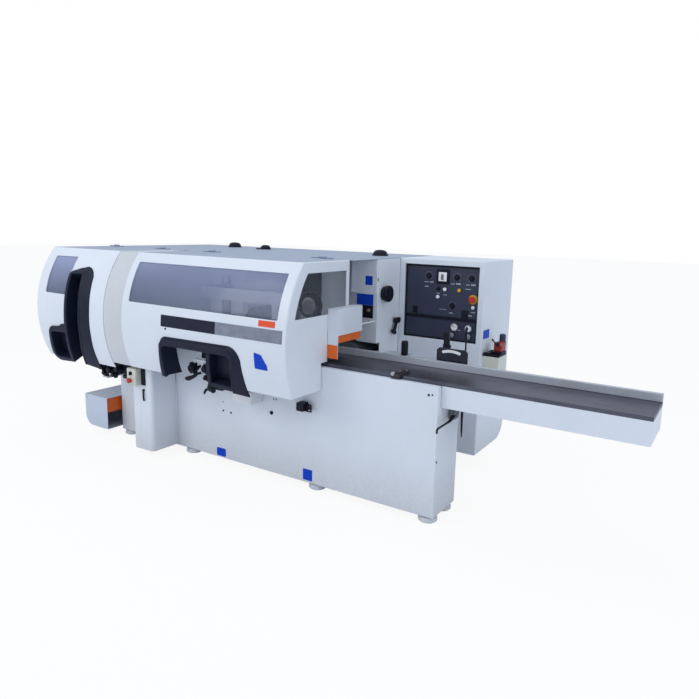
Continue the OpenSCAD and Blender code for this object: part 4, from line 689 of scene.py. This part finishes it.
fitted("pump_bowl", turned([(0.020, 0.950), (0.0225, 0.953), (0.0225, 0.990), (0.019, 1.000),
                            (0.008, 1.003)], (bowl_x, bowl_y, 0.0)), "base", bowl_plastic, slot="grey_plate")
lever_x = -0.0208
fitted("pump_handle", [
    turned([(0.010, -0.0325), (0.012, -0.0312), (0.012, -0.0104), (0.010, -0.0091)], (0.0, 0.9985, 0.9376),
           "X", 24),
    tube([(lever_x, y, z) for y, z in ((0.992, 0.939), (0.965, 0.944), (0.930, 0.960), (0.895, 0.980),
                                       (0.886, 0.985), (0.880, 0.9885))],
         [0.007, 0.006, 0.005, 0.005, 0.0075, 0.004])], "pump_lever", black_plastic, ["pump_lever"])

# Infeed guard: a white sheet box over the table on a rod from the post, with
# an orange skirt on its front and an orange flap that boards lift.
fitted("guard", trimmed(eased("infeed_guard", 0.006, 3), 0.344, 1.0), "base", white_paint, ["infeed_guard"],
       moved=False)
fitted("guard_pin_cap", front_turned(-0.744, 1.074, [(0.008, 0.0604), (0.008, 0.0586), (0.0065, 0.0574),
                                                     (0.002, 0.0573)], 20), "base", white_paint)
rod_x, rod_z = -0.800, 1.066
fitted("guard_carrier", [tube([(rod_x, 0.343, rod_z), (rod_x, 0.598, rod_z)], 0.006),
                         tube([(rod_x, 0.592, rod_z), (rod_x, 0.5998, rod_z)], 0.011)], "base", white_paint)
orange_plastic = moulded("orange_plastic", (226, 104, 38), rough=0.45, grain=0.05, pale=1.1)
dressed("guard_flap_strip", "guard_flap", "guard_flap", orange_plastic, 0.001)
fitted("guard_skirt", film(-0.8115, -0.7345, 0.8905, 0.978, 0.002, 0.0591, thick=0.0016, edge=0.0004),
       "base", orange_plastic)

# Lever bracket: a black painted steel plate with a foot, bolted behind the
# fence, with a pale curved scale let into its face.
black_paint = painted("black_paint", (30, 32, 47), grime=0.0, scuffs=0.3)
fitted("lever_bracket", [
    plate([rounded([(-0.214, 0.710), (-0.004, 0.710), (-0.004, 0.966), (-0.020, 0.983), (-0.198, 0.983),
                    (-0.214, 0.966)], [0.002, 0.002, 0.008, 0.012, 0.012, 0.008])],
          0.008, 0.002, "front", 0.417),
    brick(-0.214, -0.004, 0.307, 0.413, 0.710, 0.728, 0.002)], "base", black_paint, ["lever_plate"])
scale_x, scale_z, scale_in, scale_out = -0.1135, 0.783, 0.174, 0.192
sweep = [math.radians(a) for a in range(-20, 21, 4)]
scale_arc = [(scale_x + r * math.sin(a), scale_z + r * math.cos(a))
             for r, angles in ((scale_out, sweep), (scale_in, sweep[::-1])) for a in angles]
ends = {0, len(sweep) - 1, len(sweep), 2 * len(sweep) - 1}
scale_arc = rounded(scale_arc, [0.006 if i in ends else 0.0 for i in range(len(scale_arc))])
fitted("lever_scale", plate([scale_arc], 0.0012, 0.0003, "front", 0.4123), "base", white_plastic)

# Infeed levers: a thick black lever with a forked grip for the depth of cut,
# and a thin rod with a small knob, both on pins in the bracket.
pivot_z = 0.810
depth_grip = rounded(
    [(-0.130, 0.979), (-0.130, 0.998), (-0.139, 1.004), (-0.139, 1.030), (-0.144, 1.082), (-0.157, 1.088),
     (-0.161, 1.062), (-0.167, 1.088), (-0.182, 1.082), (-0.177, 1.025), (-0.177, 1.004), (-0.181, 0.998),
     (-0.181, 0.979)], 0.005)
fitted("depth_lever_arm", [
    front_turned(-0.151, pivot_z, [(0.018, 0.4216), (0.020, 0.4235), (0.020, 0.4395), (0.018, 0.4413)]),
    film(-0.162, -0.142, 0.812, 0.985, 0.003, 0.4313, thick=0.010, edge=0.002),
    plate([depth_grip], 0.022, 0.005, "front", 0.4365)], "depth_lever", black_plastic, ["depth_lever"])
fitted("rod_lever_arm", [
    front_turned(-0.028, pivot_z, [(0.010, 0.4216), (0.012, 0.4235), (0.012, 0.4435), (0.010, 0.4455)]),
    turned([(0.0045, 0.812), (0.0055, 0.830), (0.0055, 1.100), (0.0045, 1.102), (0.007, 1.106),
            (0.0085, 1.114), (0.007, 1.122), (0.003, 1.127)], (-0.028, 0.4335, 0.0), turns=20)],
    "rod_lever", black_plastic, ["rod_lever"])

# Side presser: a small cast clamp on the table's front edge with a sprung
# arm, a turned end screw and two steel fixing screws.
presser_cast = painted("presser_cast", (50, 44, 48), grime=0.0, gloss=0.5, peel=0.3)
presser_arm = rounded([(-0.324, 0.016), (-0.276, 0.016), (-0.258, 0.060), (-0.262, 0.150), (-0.282, 0.166),
                       (-0.302, 0.120), (-0.300, 0.070)], 0.010)
presser_clip = rounded([(-0.300, 0.030), (-0.272, 0.030), (-0.266, 0.100), (-0.284, 0.120)], 0.008)
fitted("presser", [
    brick(-0.322, -0.262, 0.014, 0.037, 0.842, 0.866, 0.003),
    plate([presser_arm], 0.010, 0.003, "top", 0.8660), plate([presser_clip], 0.010, 0.003, "top", 0.8755)],
    "side_presser", presser_cast, ["side_presser"], "cast")
fitted("presser_screws", [
    front_turned(-0.309, 0.8685, [(0.011, 0.0125), (0.013, 0.016), (0.013, 0.028), (0.009, 0.031)], 24),
    turned([(0.009, 0.8805), (0.009, 0.8815), (0.006, 0.882)], (-0.284, 0.062, 0.0), turns=20),
    turned([(0.007, 0.8705), (0.007, 0.8755), (0.005, 0.8765)], (-0.281, 0.140, 0.0), turns=20)],
    "side_presser", bright_steel)

# Lift lever: a cast drum on the bed's end under the table with a cranked
# black arm, and the rod of the table's lock hanging beside it.
fitted("lift_drum", turned([(0.009, -0.015), (0.009, 0.001), (0.040, 0.001), (0.044, 0.005), (0.044, 0.020),
                            (0.036, 0.024), (0.034, 0.036), (0.030, 0.040), (0.010, 0.040)],
                           (0.0, 0.190, 0.645), "X"), "lift_lever", cast_paint, ["lift_lever"], "cast")
arm_x, arm_r, lock_y = 0.031, 0.006, 0.250
fitted("lift_arm", tube([(arm_x, y, z) for y, z in (
    (0.222, 0.655), (0.150, 0.632), (0.110, 0.619), (0.060, 0.617), (-0.050, 0.615), (-0.060, 0.613),
    (-0.0645, 0.607), (-0.0655, 0.590))], [0.009, 0.011, 0.009] + [arm_r] * 5), "lift_lever", black_plastic)
fitted("table_lock_rod", tube([(x, lock_y, z) for x, z in (
    (0.047, 0.712), (0.047, 0.600), (0.049, 0.530), (0.051, 0.485))], [0.007, 0.007, 0.006, 0.003]),
    "infeed_table", black_plastic)

# Service box: a folded white sheet case that stands in front of the bed, open
# at the corner where its door closes it, with a black seal strip on the edge.
box_out, box_in, box_front, box_inner = -2.357, -2.351, -0.234, -0.228
door_side, wide, slim = -2.156, 0.030, 0.024


def case_wall(stop, thick, at):
    wall = rounded([(box_out, 0.0), (box_out, box_front), (stop, box_front), (stop, box_inner),
                    (box_in, box_inner), (box_in, 0.0)], [0, 0.012, 0, 0, 0.006, 0])
    return plate([wall], thick, 0.0015, "top", at)


case_top = rounded([(box_out, 0.0), (box_out, box_front), (door_side, box_front), (door_side, 0.0)],
                   [0, 0.012, wide, 0])
case_floor = rounded([(-2.352, -0.001), (-2.352, -0.227), (-2.164, -0.227), (-2.164, -0.001)],
                     [0, 0.006, slim, 0])
fitted("service_case", [
    case_wall(-2.2110, 0.1886, 0.6249), case_wall(-2.2750, 0.4830, 0.2895),
    plate([case_top], 0.006, 0.0015, "top", 0.7220), plate([case_floor], 0.006, 0.001, "top", 0.0520),
    brick(door_side, -2.146, -0.0105, 0.0, 0.5306, 0.5366, 0.0008),
    brick(door_side, -2.146, -0.0105, 0.0, 0.0440, 0.0486, 0.0008)], "base", white_paint, ["service_box"])
fitted("seal_strip", brick(-2.253, -2.2125, -0.243, -0.2345, 0.545, 0.690, 0.003), "base", black_plastic)


# Service door: one folded white leaf round the case's corner, narrower at the
# top, hung on a pin at the bed and held by a cranked black catch.
def door_leaf(left, low, high):
    leaf = rounded([(left, box_front), (door_side, box_front), (door_side, -0.0075), (-2.162, -0.0075),
                    (-2.162, box_inner), (left, box_inner)], [0, wide, 0, 0, slim, 0])
    return plate([leaf], high - low, 0.0015, "top", (low + high) / 2)


fitted("service_door_leaf", [
    door_leaf(-2.2740, 0.0490, 0.5300), door_leaf(-2.2100, 0.5260, 0.7180),
    turned([(0.0045, 0.0495), (0.005, 0.051), (0.005, 0.528), (0.0045, 0.5295)], (-2.151, -0.0056, 0.0),
           turns=20)], "service_door", white_paint, ["service_door"])
fitted("door_catch", [
    front_turned(-2.232, 0.509, [(0.008, -0.2345), (0.008, -0.246), (0.006, -0.249), (0.003, -0.250)], 20),
    tube([(-2.232, -0.243, 0.509), (-2.232, -0.244, 0.470), (-2.231, -0.244, 0.446), (-2.228, -0.244, 0.436),
          (-2.2245, -0.244, 0.430)], 0.006)], "door_handle", black_plastic, ["door_handle"])

# Switch box: a small beige box on the service case's front, with a red
# mushroom stop in a collar and a black selector, both moulded.
switch_x, mushroom_z, selector_z = -2.304, 0.5822, 0.6343
fitted("switch_case", [
    brick(-2.353, -2.255, -0.286, -0.234, 0.545, 0.669, 0.006, 3),
    brick(-2.349, -2.259, -0.2885, -0.280, 0.549, 0.665, 0.002),
    front_turned(switch_x, mushroom_z, [(0.0225, -0.286), (0.0225, -0.291), (0.020, -0.293),
                                        (0.0142, -0.293), (0.0142, -0.2880)])],
    "base", beige_paint, ["switch_box"])
fitted("mushroom_stop_cap", front_turned(switch_x, mushroom_z, [
    (0.0125, -0.293), (0.0125, -0.300), (0.016, -0.302), (0.019, -0.306), (0.019, -0.312), (0.016, -0.317),
    (0.008, -0.319)], 36), "mushroom_stop", red_plastic, ["mushroom_stop"])
fitted("switch_knob", [
    front_turned(switch_x, selector_z, [(0.014, -0.2888), (0.014, -0.294), (0.012, -0.296),
                                        (0.005, -0.296)]),
    brick(-2.3075, -2.3005, -0.306, -0.2935, 0.621, 0.6476, 0.002)],
    "switch_selector", black_plastic, ["switch_selector"])

# End guard: a folded grey sheet box past the bed's outfeed end, open towards
# the infeed, with an orange baffle inside and two steel screws.
guard_grey = painted("guard_grey", (196, 204, 220), grime=0.2)
dressed("chip_guard", "end_guard", "base", guard_grey, 0.0015, slot="grey_paint")
fitted("guard_baffle", film(-0.1355, 0.2955, 0.1965, 0.3205, 0.002, -2.8392, "end"), "base", orange_plastic)
fitted("guard_screws", [screw((-3.065, -0.140, 0.300), "Y", 0.005, -1.0),
                        screw((-2.8102, -0.100, 0.069), "X", 0.004)], "base", bright_steel)


# Adjusters: black star knobs on shafts that come out of the bed under the
# hoods, with moulded blocks and two bent levers beside them.
def star_knob(x, z, y0, y1, radius, lobes):
    loop = []
    for k in range(lobes * 12):
        a = math.tau * k / (lobes * 12)
        r = radius * (0.86 + 0.14 * math.cos(lobes * a))
        loop.append((x + r * math.cos(a), z + r * math.sin(a)))
    return plate([loop], y0 - y1, min(0.004, (y0 - y1) / 3), "front", (y0 + y1) / 2)


def shaft(x, z, end, r):
    return front_turned(x, z, [(r, 0.0), (r, end), (r * 0.7, end - 0.002)], 20)


adjusters = []
for x, z, front, r, lobes in ((-1.780, 0.728, -0.205, 0.046, 6), (-1.656, 0.738, -0.205, 0.036, 5),
                              (-1.656, 0.676, -0.195, 0.026, 5), (-1.610, 0.614, -0.195, 0.040, 5),
                              (-2.700, 0.585, -0.200, 0.040, 6), (-2.610, 0.600, -0.195, 0.036, 5),
                              (-2.640, 0.555, -0.205, 0.030, 5), (-2.796, 0.596, -0.200, 0.036, 5),
                              (-2.765, 0.552, -0.195, 0.032, 6)):
    hub = [(r * 0.62, front + 0.018), (r * 0.60, front + 0.004), (r * 0.5, front), (r * 0.2, front)]
    adjusters += [shaft(x, z, front + 0.044, 0.010),
                  star_knob(x, z, front + 0.045, front + 0.018, r, lobes), front_turned(x, z, hub)]
for x0, x1, z0, z1, y in ((-1.728, -1.610, 0.800, 0.856, -0.150), (-1.680, -1.610, 0.690, 0.775, -0.120),
                          (-1.640, -1.575, 0.580, 0.640, -0.110), (-2.720, -2.480, 0.562, 0.640, -0.150),
                          (-2.560, -2.500, 0.535, 0.565, -0.170), (-2.790, -2.700, 0.566, 0.612, -0.140)):
    adjusters.append(brick(x0, x1, y, 0.0, z0, z1, 0.008, 3))
adjusters += [
    tube([(-1.835, -0.190, 0.648), (-1.810, -0.195, 0.652), (-1.780, -0.195, 0.664), (-1.750, -0.190, 0.680),
          (-1.728, -0.180, 0.700)], [0.012, 0.017, 0.014, 0.012, 0.010]),
    tube([(-1.640, -0.190, 0.600), (-1.655, -0.192, 0.582), (-1.660, -0.192, 0.566)], [0.010, 0.009, 0.006]),
    shaft(-1.750, 0.690, -0.190, 0.009)]
fitted("adjuster_knobs", adjusters, "base", black_plastic, ["adjuster_block"])

# Adjuster scales: pale painted bars and a slanted brace beside the adjusters'
# shafts, with a block on the bed's front.
scale_paint = painted("scale_paint", (222, 224, 228), grime=0.0)
fitted("adjuster_scales", [
    brick(-1.470, -1.300, -0.120, 0.0, 0.530, 0.620, 0.005, 3),
    brick(-1.778, -1.622, -0.172, -0.150, 0.774, 0.794, 0.003),
    brick(-1.712, -1.690, -0.168, -0.158, 0.700, 0.776, 0.002),
    brick(-1.640, -1.622, -0.160, 0.0, 0.776, 0.792, 0.002),
    brick(-2.806, -2.740, -0.170, 0.0, 0.508, 0.518, 0.002),
    swung(brick(-0.036, 0.036, -0.168, -0.160, -0.005, 0.005, 0.002), math.radians(-46), "Y",
          (-1.738, 0.0, 0.826))], "base", scale_paint, slot="beige_paint")

# Interlock switch: a black moulded switch on the bed's front with its roller
# and a slotted fixing plate.
fitted("interlock", [
    brick(-0.968, -0.912, -0.062, -0.002, 0.541, 0.596, 0.004, 3),
    plate([panel(-0.916, -0.866, 0.538, 0.590, 0.004), panel(-0.892, -0.876, 0.574, 0.582, 0.003)[::-1],
           panel(-0.892, -0.876, 0.546, 0.556, 0.003)[::-1]], 0.005, 0.001, "front", -0.030),
    brick(-0.930, -0.905, -0.028, 0.0, 0.545, 0.585, 0.002),
    turned([(0.008, -0.982), (0.009, -0.980), (0.009, -0.970), (0.006, -0.966)], (0.0, -0.034, 0.552), "X",
           20)], "base", black_plastic, ["interlock_switch"])

# Middle band: a fixed curved sheet cover between the hoods, painted slightly
# greyer, set in by the depth of a groove on both sides.
band_paint = painted("band_paint", (200, 202, 206), grime=0.0)
dressed("band", "middle_band", "base", band_paint, 0.003, 3, "grey_paint")

# Main hood: one sheet rolled over the front, folded at the infeed end and
# along the top, hung from the roof on two hinges. White outside, with a grey
# top like the roof's.
hood_back, hood_mid, hood_r, hood_t = 0.419, 1.011, 0.784, 0.006
hood_top, hood_hinge, end_fold, top_fold = 1.505, 0.2995, 0.010, 0.020
fold_z = hood_top - top_fold
fold_y = hood_back - math.sqrt((hood_r - top_fold) ** 2 - (fold_z - hood_mid) ** 2)
fold_from = math.asin((fold_z - hood_mid) / (hood_r - top_fold))
flat_from = hood_r * fold_from + top_fold * (math.pi / 2 - fold_from)
flat_to = flat_from + hood_hinge - fold_y


def arc(z):
    return hood_r * math.asin((z - hood_mid) / hood_r)


def on_arc(loop):
    return [(x, arc(z)) for x, z in loop]


def roll(along, out):
    if along > flat_from:
        return fold_y + along - flat_from, hood_top + out
    if along > hood_r * fold_from:
        a = fold_from + (along - hood_r * fold_from) / top_fold
        return fold_y - (top_fold + out) * math.cos(a), fold_z + (top_fold + out) * math.sin(a)
    a = along / hood_r
    return hood_back - (hood_r + out) * math.cos(a), hood_mid + (hood_r + out) * math.sin(a)


def creases(low, high):
    lines = [math.radians(d) * hood_r for d in range(-40, 60, 2) if math.radians(d) < fold_from - 0.005]
    lines += [hood_r * fold_from + (flat_from - hood_r * fold_from) * k / 6 for k in range(7)]
    return [line for line in lines if low + 1e-4 < line < high - 1e-4]


def curled(shape, out, end=None, side=1):
    heights = [v.co.y for v in shape.verts]
    cuts = [((0.0, line, 0.0), (0.0, 1.0, 0.0)) for line in creases(min(heights), max(heights))]
    if end is not None:
        start = end - side * end_fold
        bend = side * end_fold * math.pi / 2
        cuts += [((start + bend * k / 6, 0.0, 0.0), (1.0, 0.0, 0.0)) for k in range(6)]
    for spot, way in cuts:
        bmesh.ops.bisect_plane(shape, geom=shape.verts[:] + shape.edges[:] + shape.faces[:], dist=1e-7,
                               plane_co=spot, plane_no=way)
    for v in shape.verts:
        x, lift = v.co.x, out + v.co.z
        if end is not None and side * (x - start) > 0.0:
            a = side * (x - start) / end_fold
            x = start + side * (end_fold + lift) * math.sin(a)
            lift = (end_fold + lift) * math.cos(a) - end_fold
        v.co = (x, *roll(v.co.y, lift))
    return shape


def rim(inset, z0, z1):
    low, high = (math.asin((z - hood_mid) / (hood_r - inset)) for z in (z0, z1))
    inner = [math.radians(d) for d in range(-40, 60, 2) if low + 1e-3 < math.radians(d) < high - 1e-3]
    return [roll(hood_r * a, -inset) for a in (low, *inner, high)]


def end_line(z0):
    return [roll(line, -end_fold) for line in (arc(z0), *creases(arc(z0), flat_to), flat_to)]


def two_tone(shape):
    shape.normal_update()
    for face in shape.faces:
        on_top = face.calc_center_median().z > hood_top - hood_t - 0.001
        face.material_index = int(on_top and abs(face.normal.z) > 0.97)
    return shape


def knuckles(x0, length):
    made = []
    for x in [x0 + length * share + 0.061 * side for share in (0.15, 0.85) for side in (-1, 1)]:
        pin = [(0.004, x - 0.030), (0.0046, x - 0.029), (0.0046, x + 0.029), (0.004, x + 0.030)]
        made.append(turned(pin, (0.0, 0.3005, 1.5090), "X", 20))
    return made


wrap = end_fold * (math.pi / 2 - 1)
main_x, main_far, main_low = -0.813, -2.284, 0.690
main_sheet = curled(pressed([
    on_arc([(main_far, main_low), (-1.906, main_low), (-1.880, 0.936), (-1.215, 0.936), (-1.245, main_low),
            (main_x + wrap, main_low)]) + [(main_x + wrap, flat_to), (main_far, flat_to)],
    rounded(on_arc([(-2.220, 1.172), (-2.222, 1.442), (-0.886, 1.438), (-0.886, 1.168)]), 0.010, 3)],
    hood_t, 0.001), -hood_t / 2, main_x)
main_end = plate([
    end_line(main_low) + [(hood_hinge, 1.074), (0.059, 1.074), (0.059, 0.866), (-0.006, 0.866),
                          (-0.006, main_low)],
    (rim(0.072, 1.170, 1.438) + [(0.265, 1.438), (0.265, 1.170)])[::-1]],
    hood_t, 0.0008, "end", main_x - hood_t / 2)
fitted("main_hood_shell", two_tone(joined([main_sheet, main_end])), "main_hood", [white_paint, grey_paint],
       ["main_hood"])
fitted("main_hood_hinges", knuckles(-2.285, 1.472), "main_hood", grey_paint)


# Main panes: smoked acrylic sheets behind the hood's front window and its end
# window, bent to the hood and held by their edges. Their tint is graded with
# height as painted reflection and painted shade.
def smoked(name, low, high, clear):
    finish, tree, skin, where = coat(name)
    height = add(tree, "SeparateXYZ", {0: where}).outputs["Z"]
    # Painted light: the tint runs from the low colour to the high one with height, a painted reflection on
    # the front panes and painted shade on the end pane.
    painted_light_rise = spread(tree, height, 1.17, 1.42, 0.0, 1.0)
    tree.links.new(blend(tree, painted_light_rise, tone(*low), tone(*high)), skin.inputs["Base Color"])
    haze = spread(tree, noise(tree, where, 7.0, 6.0), 0.35, 0.7, 0.04, 0.12)
    tree.links.new(haze, skin.inputs["Roughness"])
    facing = add(tree, "LayerWeight", {"Blend": 0.5}).outputs["Facing"]
    tree.links.new(spread(tree, facing, 0.4, 1.0, clear, 0.9), skin.inputs["Alpha"])
    return finish


def rolled(loop, thick, edge, out):
    return curled(pressed([on_arc(loop)], thick, edge), out)


pane_t, pane_edge, pane_in, pane_low, pane_high = 0.0046, 0.001, -0.0087, 1.149, 1.459
# Front panes: painted sky reflection, lighter and bluer towards the top.
smoked_pane = smoked("smoked_pane", (126, 136, 164), (188, 197, 236), 0.25)
fitted("main_pane", rolled(panel(-2.236, -0.862, pane_low, pane_high), pane_t, pane_edge, pane_in),
       "main_hood", smoked_pane, ["main_windows"])
# End pane: painted shade, darker towards the top.
end_pane_tint_and_shade = smoked("end_pane_tint_and_shade", (92, 96, 106), (40, 44, 56), 0.24)
fitted("main_end_pane", plate([rim(0.052, pane_low, pane_high) + [(0.286, pane_high), (0.286, pane_low)]],
                              pane_t, pane_edge, "end", main_x + pane_in), "main_hood", end_pane_tint_and_shade,
       slot="smoked_pane")


# Main shroud: a moulded black hand opening let into the hood, deep walls
# behind its rim and a closed pocket on the infeed side.
def moulding(corners, radii, rims, flanges, steps, depth, level=False):
    def at_mark(stops, mark):
        for (t0, v0), (t1, v1) in zip(stops, stops[1:]):
            if mark <= t1:
                return v0 + (v1 - v0) * max(0.0, mark - t0) / (t1 - t0)
        return stops[-1][1]

    marks = [(0.0, corners[0])]
    for i in range(1, len(corners) - 1):
        bend = rounded(corners[i - 1:i + 2], [0.0, radii[i], 0.0], 6)[1:-1]
        marks += [(i + 0.2 * (k / max(1, len(bend) - 1) - 0.5), spot) for k, spot in enumerate(bend)]
    marks.append((len(corners) - 1.0, corners[-1]))
    stations = []
    for (t0, p0), (t1, p1) in zip(marks, marks[1:]):
        cuts = max(1, round(math.dist(p0, p1) / 0.035))
        stations += [(t0 + (t1 - t0) * k / cuts, p0[0] + (p1[0] - p0[0]) * k / cuts,
                      p0[1] + (p1[1] - p0[1]) * k / cuts) for k in range(cuts)]
    stations.append((marks[-1][0], *marks[-1][1]))
    shape = bmesh.new()
    rows = []
    for i, (mark, x, along) in enumerate(stations):
        before, after = stations[max(0, i - 1)], stations[min(len(stations) - 1, i + 1)]
        way = Vector((after[1] - before[1], after[2] - before[2])).normalized()
        rim_w, flange, step, deep = (at_mark(stops, mark) for stops in (rims, flanges, steps, depth))
        section = [(flange, -0.003), (flange, 0.002), (flange - 0.004, min(step, 0.006)),
                   (rim_w + 0.009, step), (rim_w + 0.003, max(step, 0.018)), (rim_w - 0.002, 0.0222),
                   (rim_w - 0.007, 0.0235), (0.006, 0.0235), (0.002, 0.0215), (0.0, 0.0170), (0.0, -0.004),
                   (0.0, -deep), (0.004, -deep), (0.004, -0.003)]
        row = []
        for off, lift in section:
            u, v = x - way.y * off, along + way.x * off
            y, z = roll(v, lift)
            if level and lift < -0.005:
                y, z = roll(v, 0.0)
                y -= lift
            row.append(shape.verts.new((u, y, z)))
        rows.append(row)
    for row, after in zip(rows, rows[1:]):
        for k in range(len(row)):
            j = (k + 1) % len(row)
            shape.faces.new((row[k], row[j], after[j], after[k]))
    shape.faces.new(rows[0][::-1])
    shape.faces.new(rows[-1])
    return shape


shroud_black = moulded("shroud_black", (25, 28, 46), rough=0.42, grain=0.2, pale=1.4, shine=0.16)
hand_rim = moulding(
    on_arc([(-1.895, 0.682), (-1.862, 0.909), (-1.237, 0.913), (-1.288, 0.668)]), [0.0, 0.022, 0.035, 0.0],
    rims=[(0, 0.042), (0.9, 0.026), (1.1, 0.036), (1.9, 0.040), (2.2, 0.018), (3, 0.014)],
    flanges=[(0, 0.048), (0.9, 0.032), (1.1, 0.060), (1.9, 0.062), (2.1, 0.074), (2.5, 0.097), (3, 0.124)],
    steps=[(0, 0.010), (1.1, 0.006), (1.9, 0.006), (2.15, 0.019), (3, 0.020)],
    depth=[(0, 0.120), (1, 0.108), (2, 0.095), (3, 0.075)], level=True)
pocket_back = [(-1.500, 0.668), (-1.440, 0.908), (-1.232, 0.908), (-1.286, 0.668)]
pocket_side = rounded([(-1.513, 0.672), (-1.462, 0.908), (-1.425, 0.908), (-1.480, 0.672)], 0.004)
pocket_lip = rounded([(-1.492, 0.664), (-1.288, 0.660), (-1.283, 0.694), (-1.480, 0.700)], 0.008)
fitted("main_hand_shroud", [
    hand_rim, rolled(pocket_back, 0.004, 0.001, -0.064), rolled(pocket_side, 0.072, 0.006, -0.028),
    rolled(pocket_lip, 0.070, 0.010, -0.026)], "main_hood", shroud_black, ["main_shroud"], "black_plastic",
    crisp=50)

# Hood plates: a dark strip with a grey right part, an orange plate and a blue
# plate, all plain film on the hood's face, and one black screw.
film_t, film_edge, film_out = 0.0012, 0.0003, 0.0010
strip_low, strip_high, strip_split = 1.035, 1.113, -1.376
navy_film = moulded("navy_film", (30, 32, 50), rough=0.4, grain=0.02, pale=1.3, shine=0.14)
strip_film = moulded("strip_film", (120, 124, 137), rough=0.4, grain=0.02)
orange_film = moulded("orange_film", (226, 78, 42), rough=0.4, grain=0.02, pale=1.05)
for name, outline, colour, nodes, slot in (
        ("name_strip", panel(-1.875, strip_split, strip_low, strip_high), navy_film, ["hood_plates"],
         "grey_plate"),
        ("name_strip_right", panel(strip_split, -0.839, strip_low, strip_high), strip_film, (),
         "grey_plate"),
        ("orange_plate", panel(-1.026, -0.898, 1.124, 1.160, 0.002), orange_film, (), "orange_plastic"),
        ("blue_plate", rounded([(-1.058, 0.860), (-0.958, 0.858), (-0.958, 0.888), (-1.000, 0.952),
                                (-1.056, 0.962)], 0.006), blue_film, (), None)):
    fitted(name, rolled(outline, film_t, film_edge, film_out), "main_hood", colour, nodes, slot)
fitted("hood_screw", screw((-1.830, -0.3648, 1.022), "Y", 0.007, -1.0), "main_hood", black_plastic)

# Outfeed hood: the same rolled and painted sheet on its own hinges, with a
# small smoked window, a tall hand slot and a low lobe, closed by an end sheet
# round the board's way out.
out_x, out_near, out_low = -3.315, -2.490, 0.650
out_sheet = curled(pressed([
    on_arc([(out_x - wrap, out_low), (-3.200, out_low), (-3.145, 0.890), (-2.945, 0.896), (-2.922, 1.050),
            (-2.922, 1.334), (-2.748, 1.340), (-2.736, 1.050), (-2.752, 0.850), (-2.812, out_low),
            (out_near, out_low)]) + [(out_near, flat_to), (out_x - wrap, flat_to)],
    rounded(on_arc([(-3.207, 1.164), (-3.203, 1.442), (-2.932, 1.444), (-2.936, 1.350), (-2.947, 1.338),
                    (-2.947, 1.162)]), [0.010, 0.010, 0.010, 0.004, 0.004, 0.010], 3)],
    hood_t, 0.001), -hood_t / 2, out_x, -1)
out_end = plate([end_line(out_low) + [(hood_hinge, 1.040), (0.034, 1.040), (0.034, out_low)]],
                hood_t, 0.0008, "end", out_x + hood_t / 2)
fitted("outfeed_hood_shell", two_tone(joined([out_sheet, out_end])), "outfeed_hood",
       [white_paint, grey_paint], ["outfeed_hood"])
fitted("outfeed_hood_hinges", knuckles(out_x, 0.825), "outfeed_hood", grey_paint)
fitted("outfeed_pane", rolled([(-3.224, pane_low), (-2.932, pane_low), (-2.932, 1.342), (-2.918, 1.352),
                               (-2.914, pane_high), (-3.224, pane_high)], pane_t, pane_edge, pane_in),
       "outfeed_hood", smoked_pane, ["outfeed_window"])

# Outfeed shroud: a moulded black surround with a tall slot, sloping off
# towards the middle band, and a low lobe with its own recess.
slot_rim = moulding(
    on_arc([(-2.965, 0.640), (-2.915, 0.850), (-2.897, 1.050), (-2.897, 1.312), (-2.769, 1.319),
            (-2.757, 1.060), (-2.772, 0.860), (-2.838, 0.640)]),
    [0.0, 0.3, 0.3, 0.014, 0.014, 0.3, 0.3, 0.0],
    rims=[(0, 0.034), (2.9, 0.030), (3.1, 0.024), (3.9, 0.024), (4.1, 0.018), (7, 0.018)],
    flanges=[(0, 0.040), (2.9, 0.034), (3.1, 0.040), (3.6, 0.055), (3.9, 0.058), (4.1, 0.112), (5, 0.108),
             (6, 0.115), (7, 0.160)],
    steps=[(0, 0.012), (2.9, 0.012), (3.1, 0.006), (3.9, 0.006), (4.1, 0.018), (7, 0.018)],
    depth=[(0, 0.090), (7, 0.090)])
slot_back = [(-2.977, 0.604), (-2.917, 0.850), (-2.899, 1.050), (-2.899, 1.314), (-2.767, 1.321),
             (-2.755, 1.060), (-2.770, 0.860), (-2.848, 0.604)]
lobe_rim = moulding(
    on_arc([(-2.985, 0.662), (-3.185, 0.660), (-3.127, 0.868), (-2.935, 0.876)]), [0.0, 0.030, 0.020, 0.0],
    rims=[(0, 0.030), (1, 0.040), (2, 0.032), (3, 0.034)],
    flanges=[(0, 0.034), (1, 0.046), (2, 0.038), (2.45, 0.040), (2.65, 0.062), (3, 0.064)],
    steps=[(0, 0.010), (3, 0.010)], depth=[(0, 0.060), (3, 0.060)])
lobe_back = [(-2.950, 0.660), (-3.186, 0.658), (-3.128, 0.870), (-2.920, 0.878)]
fitted("outfeed_hand_shroud", [
    slot_rim, rolled(slot_back, 0.004, 0.001, -0.088), lobe_rim, rolled(lobe_back, 0.004, 0.001, -0.058)],
    "outfeed_hood", shroud_black, ["outfeed_shroud"], "black_plastic", crisp=50)
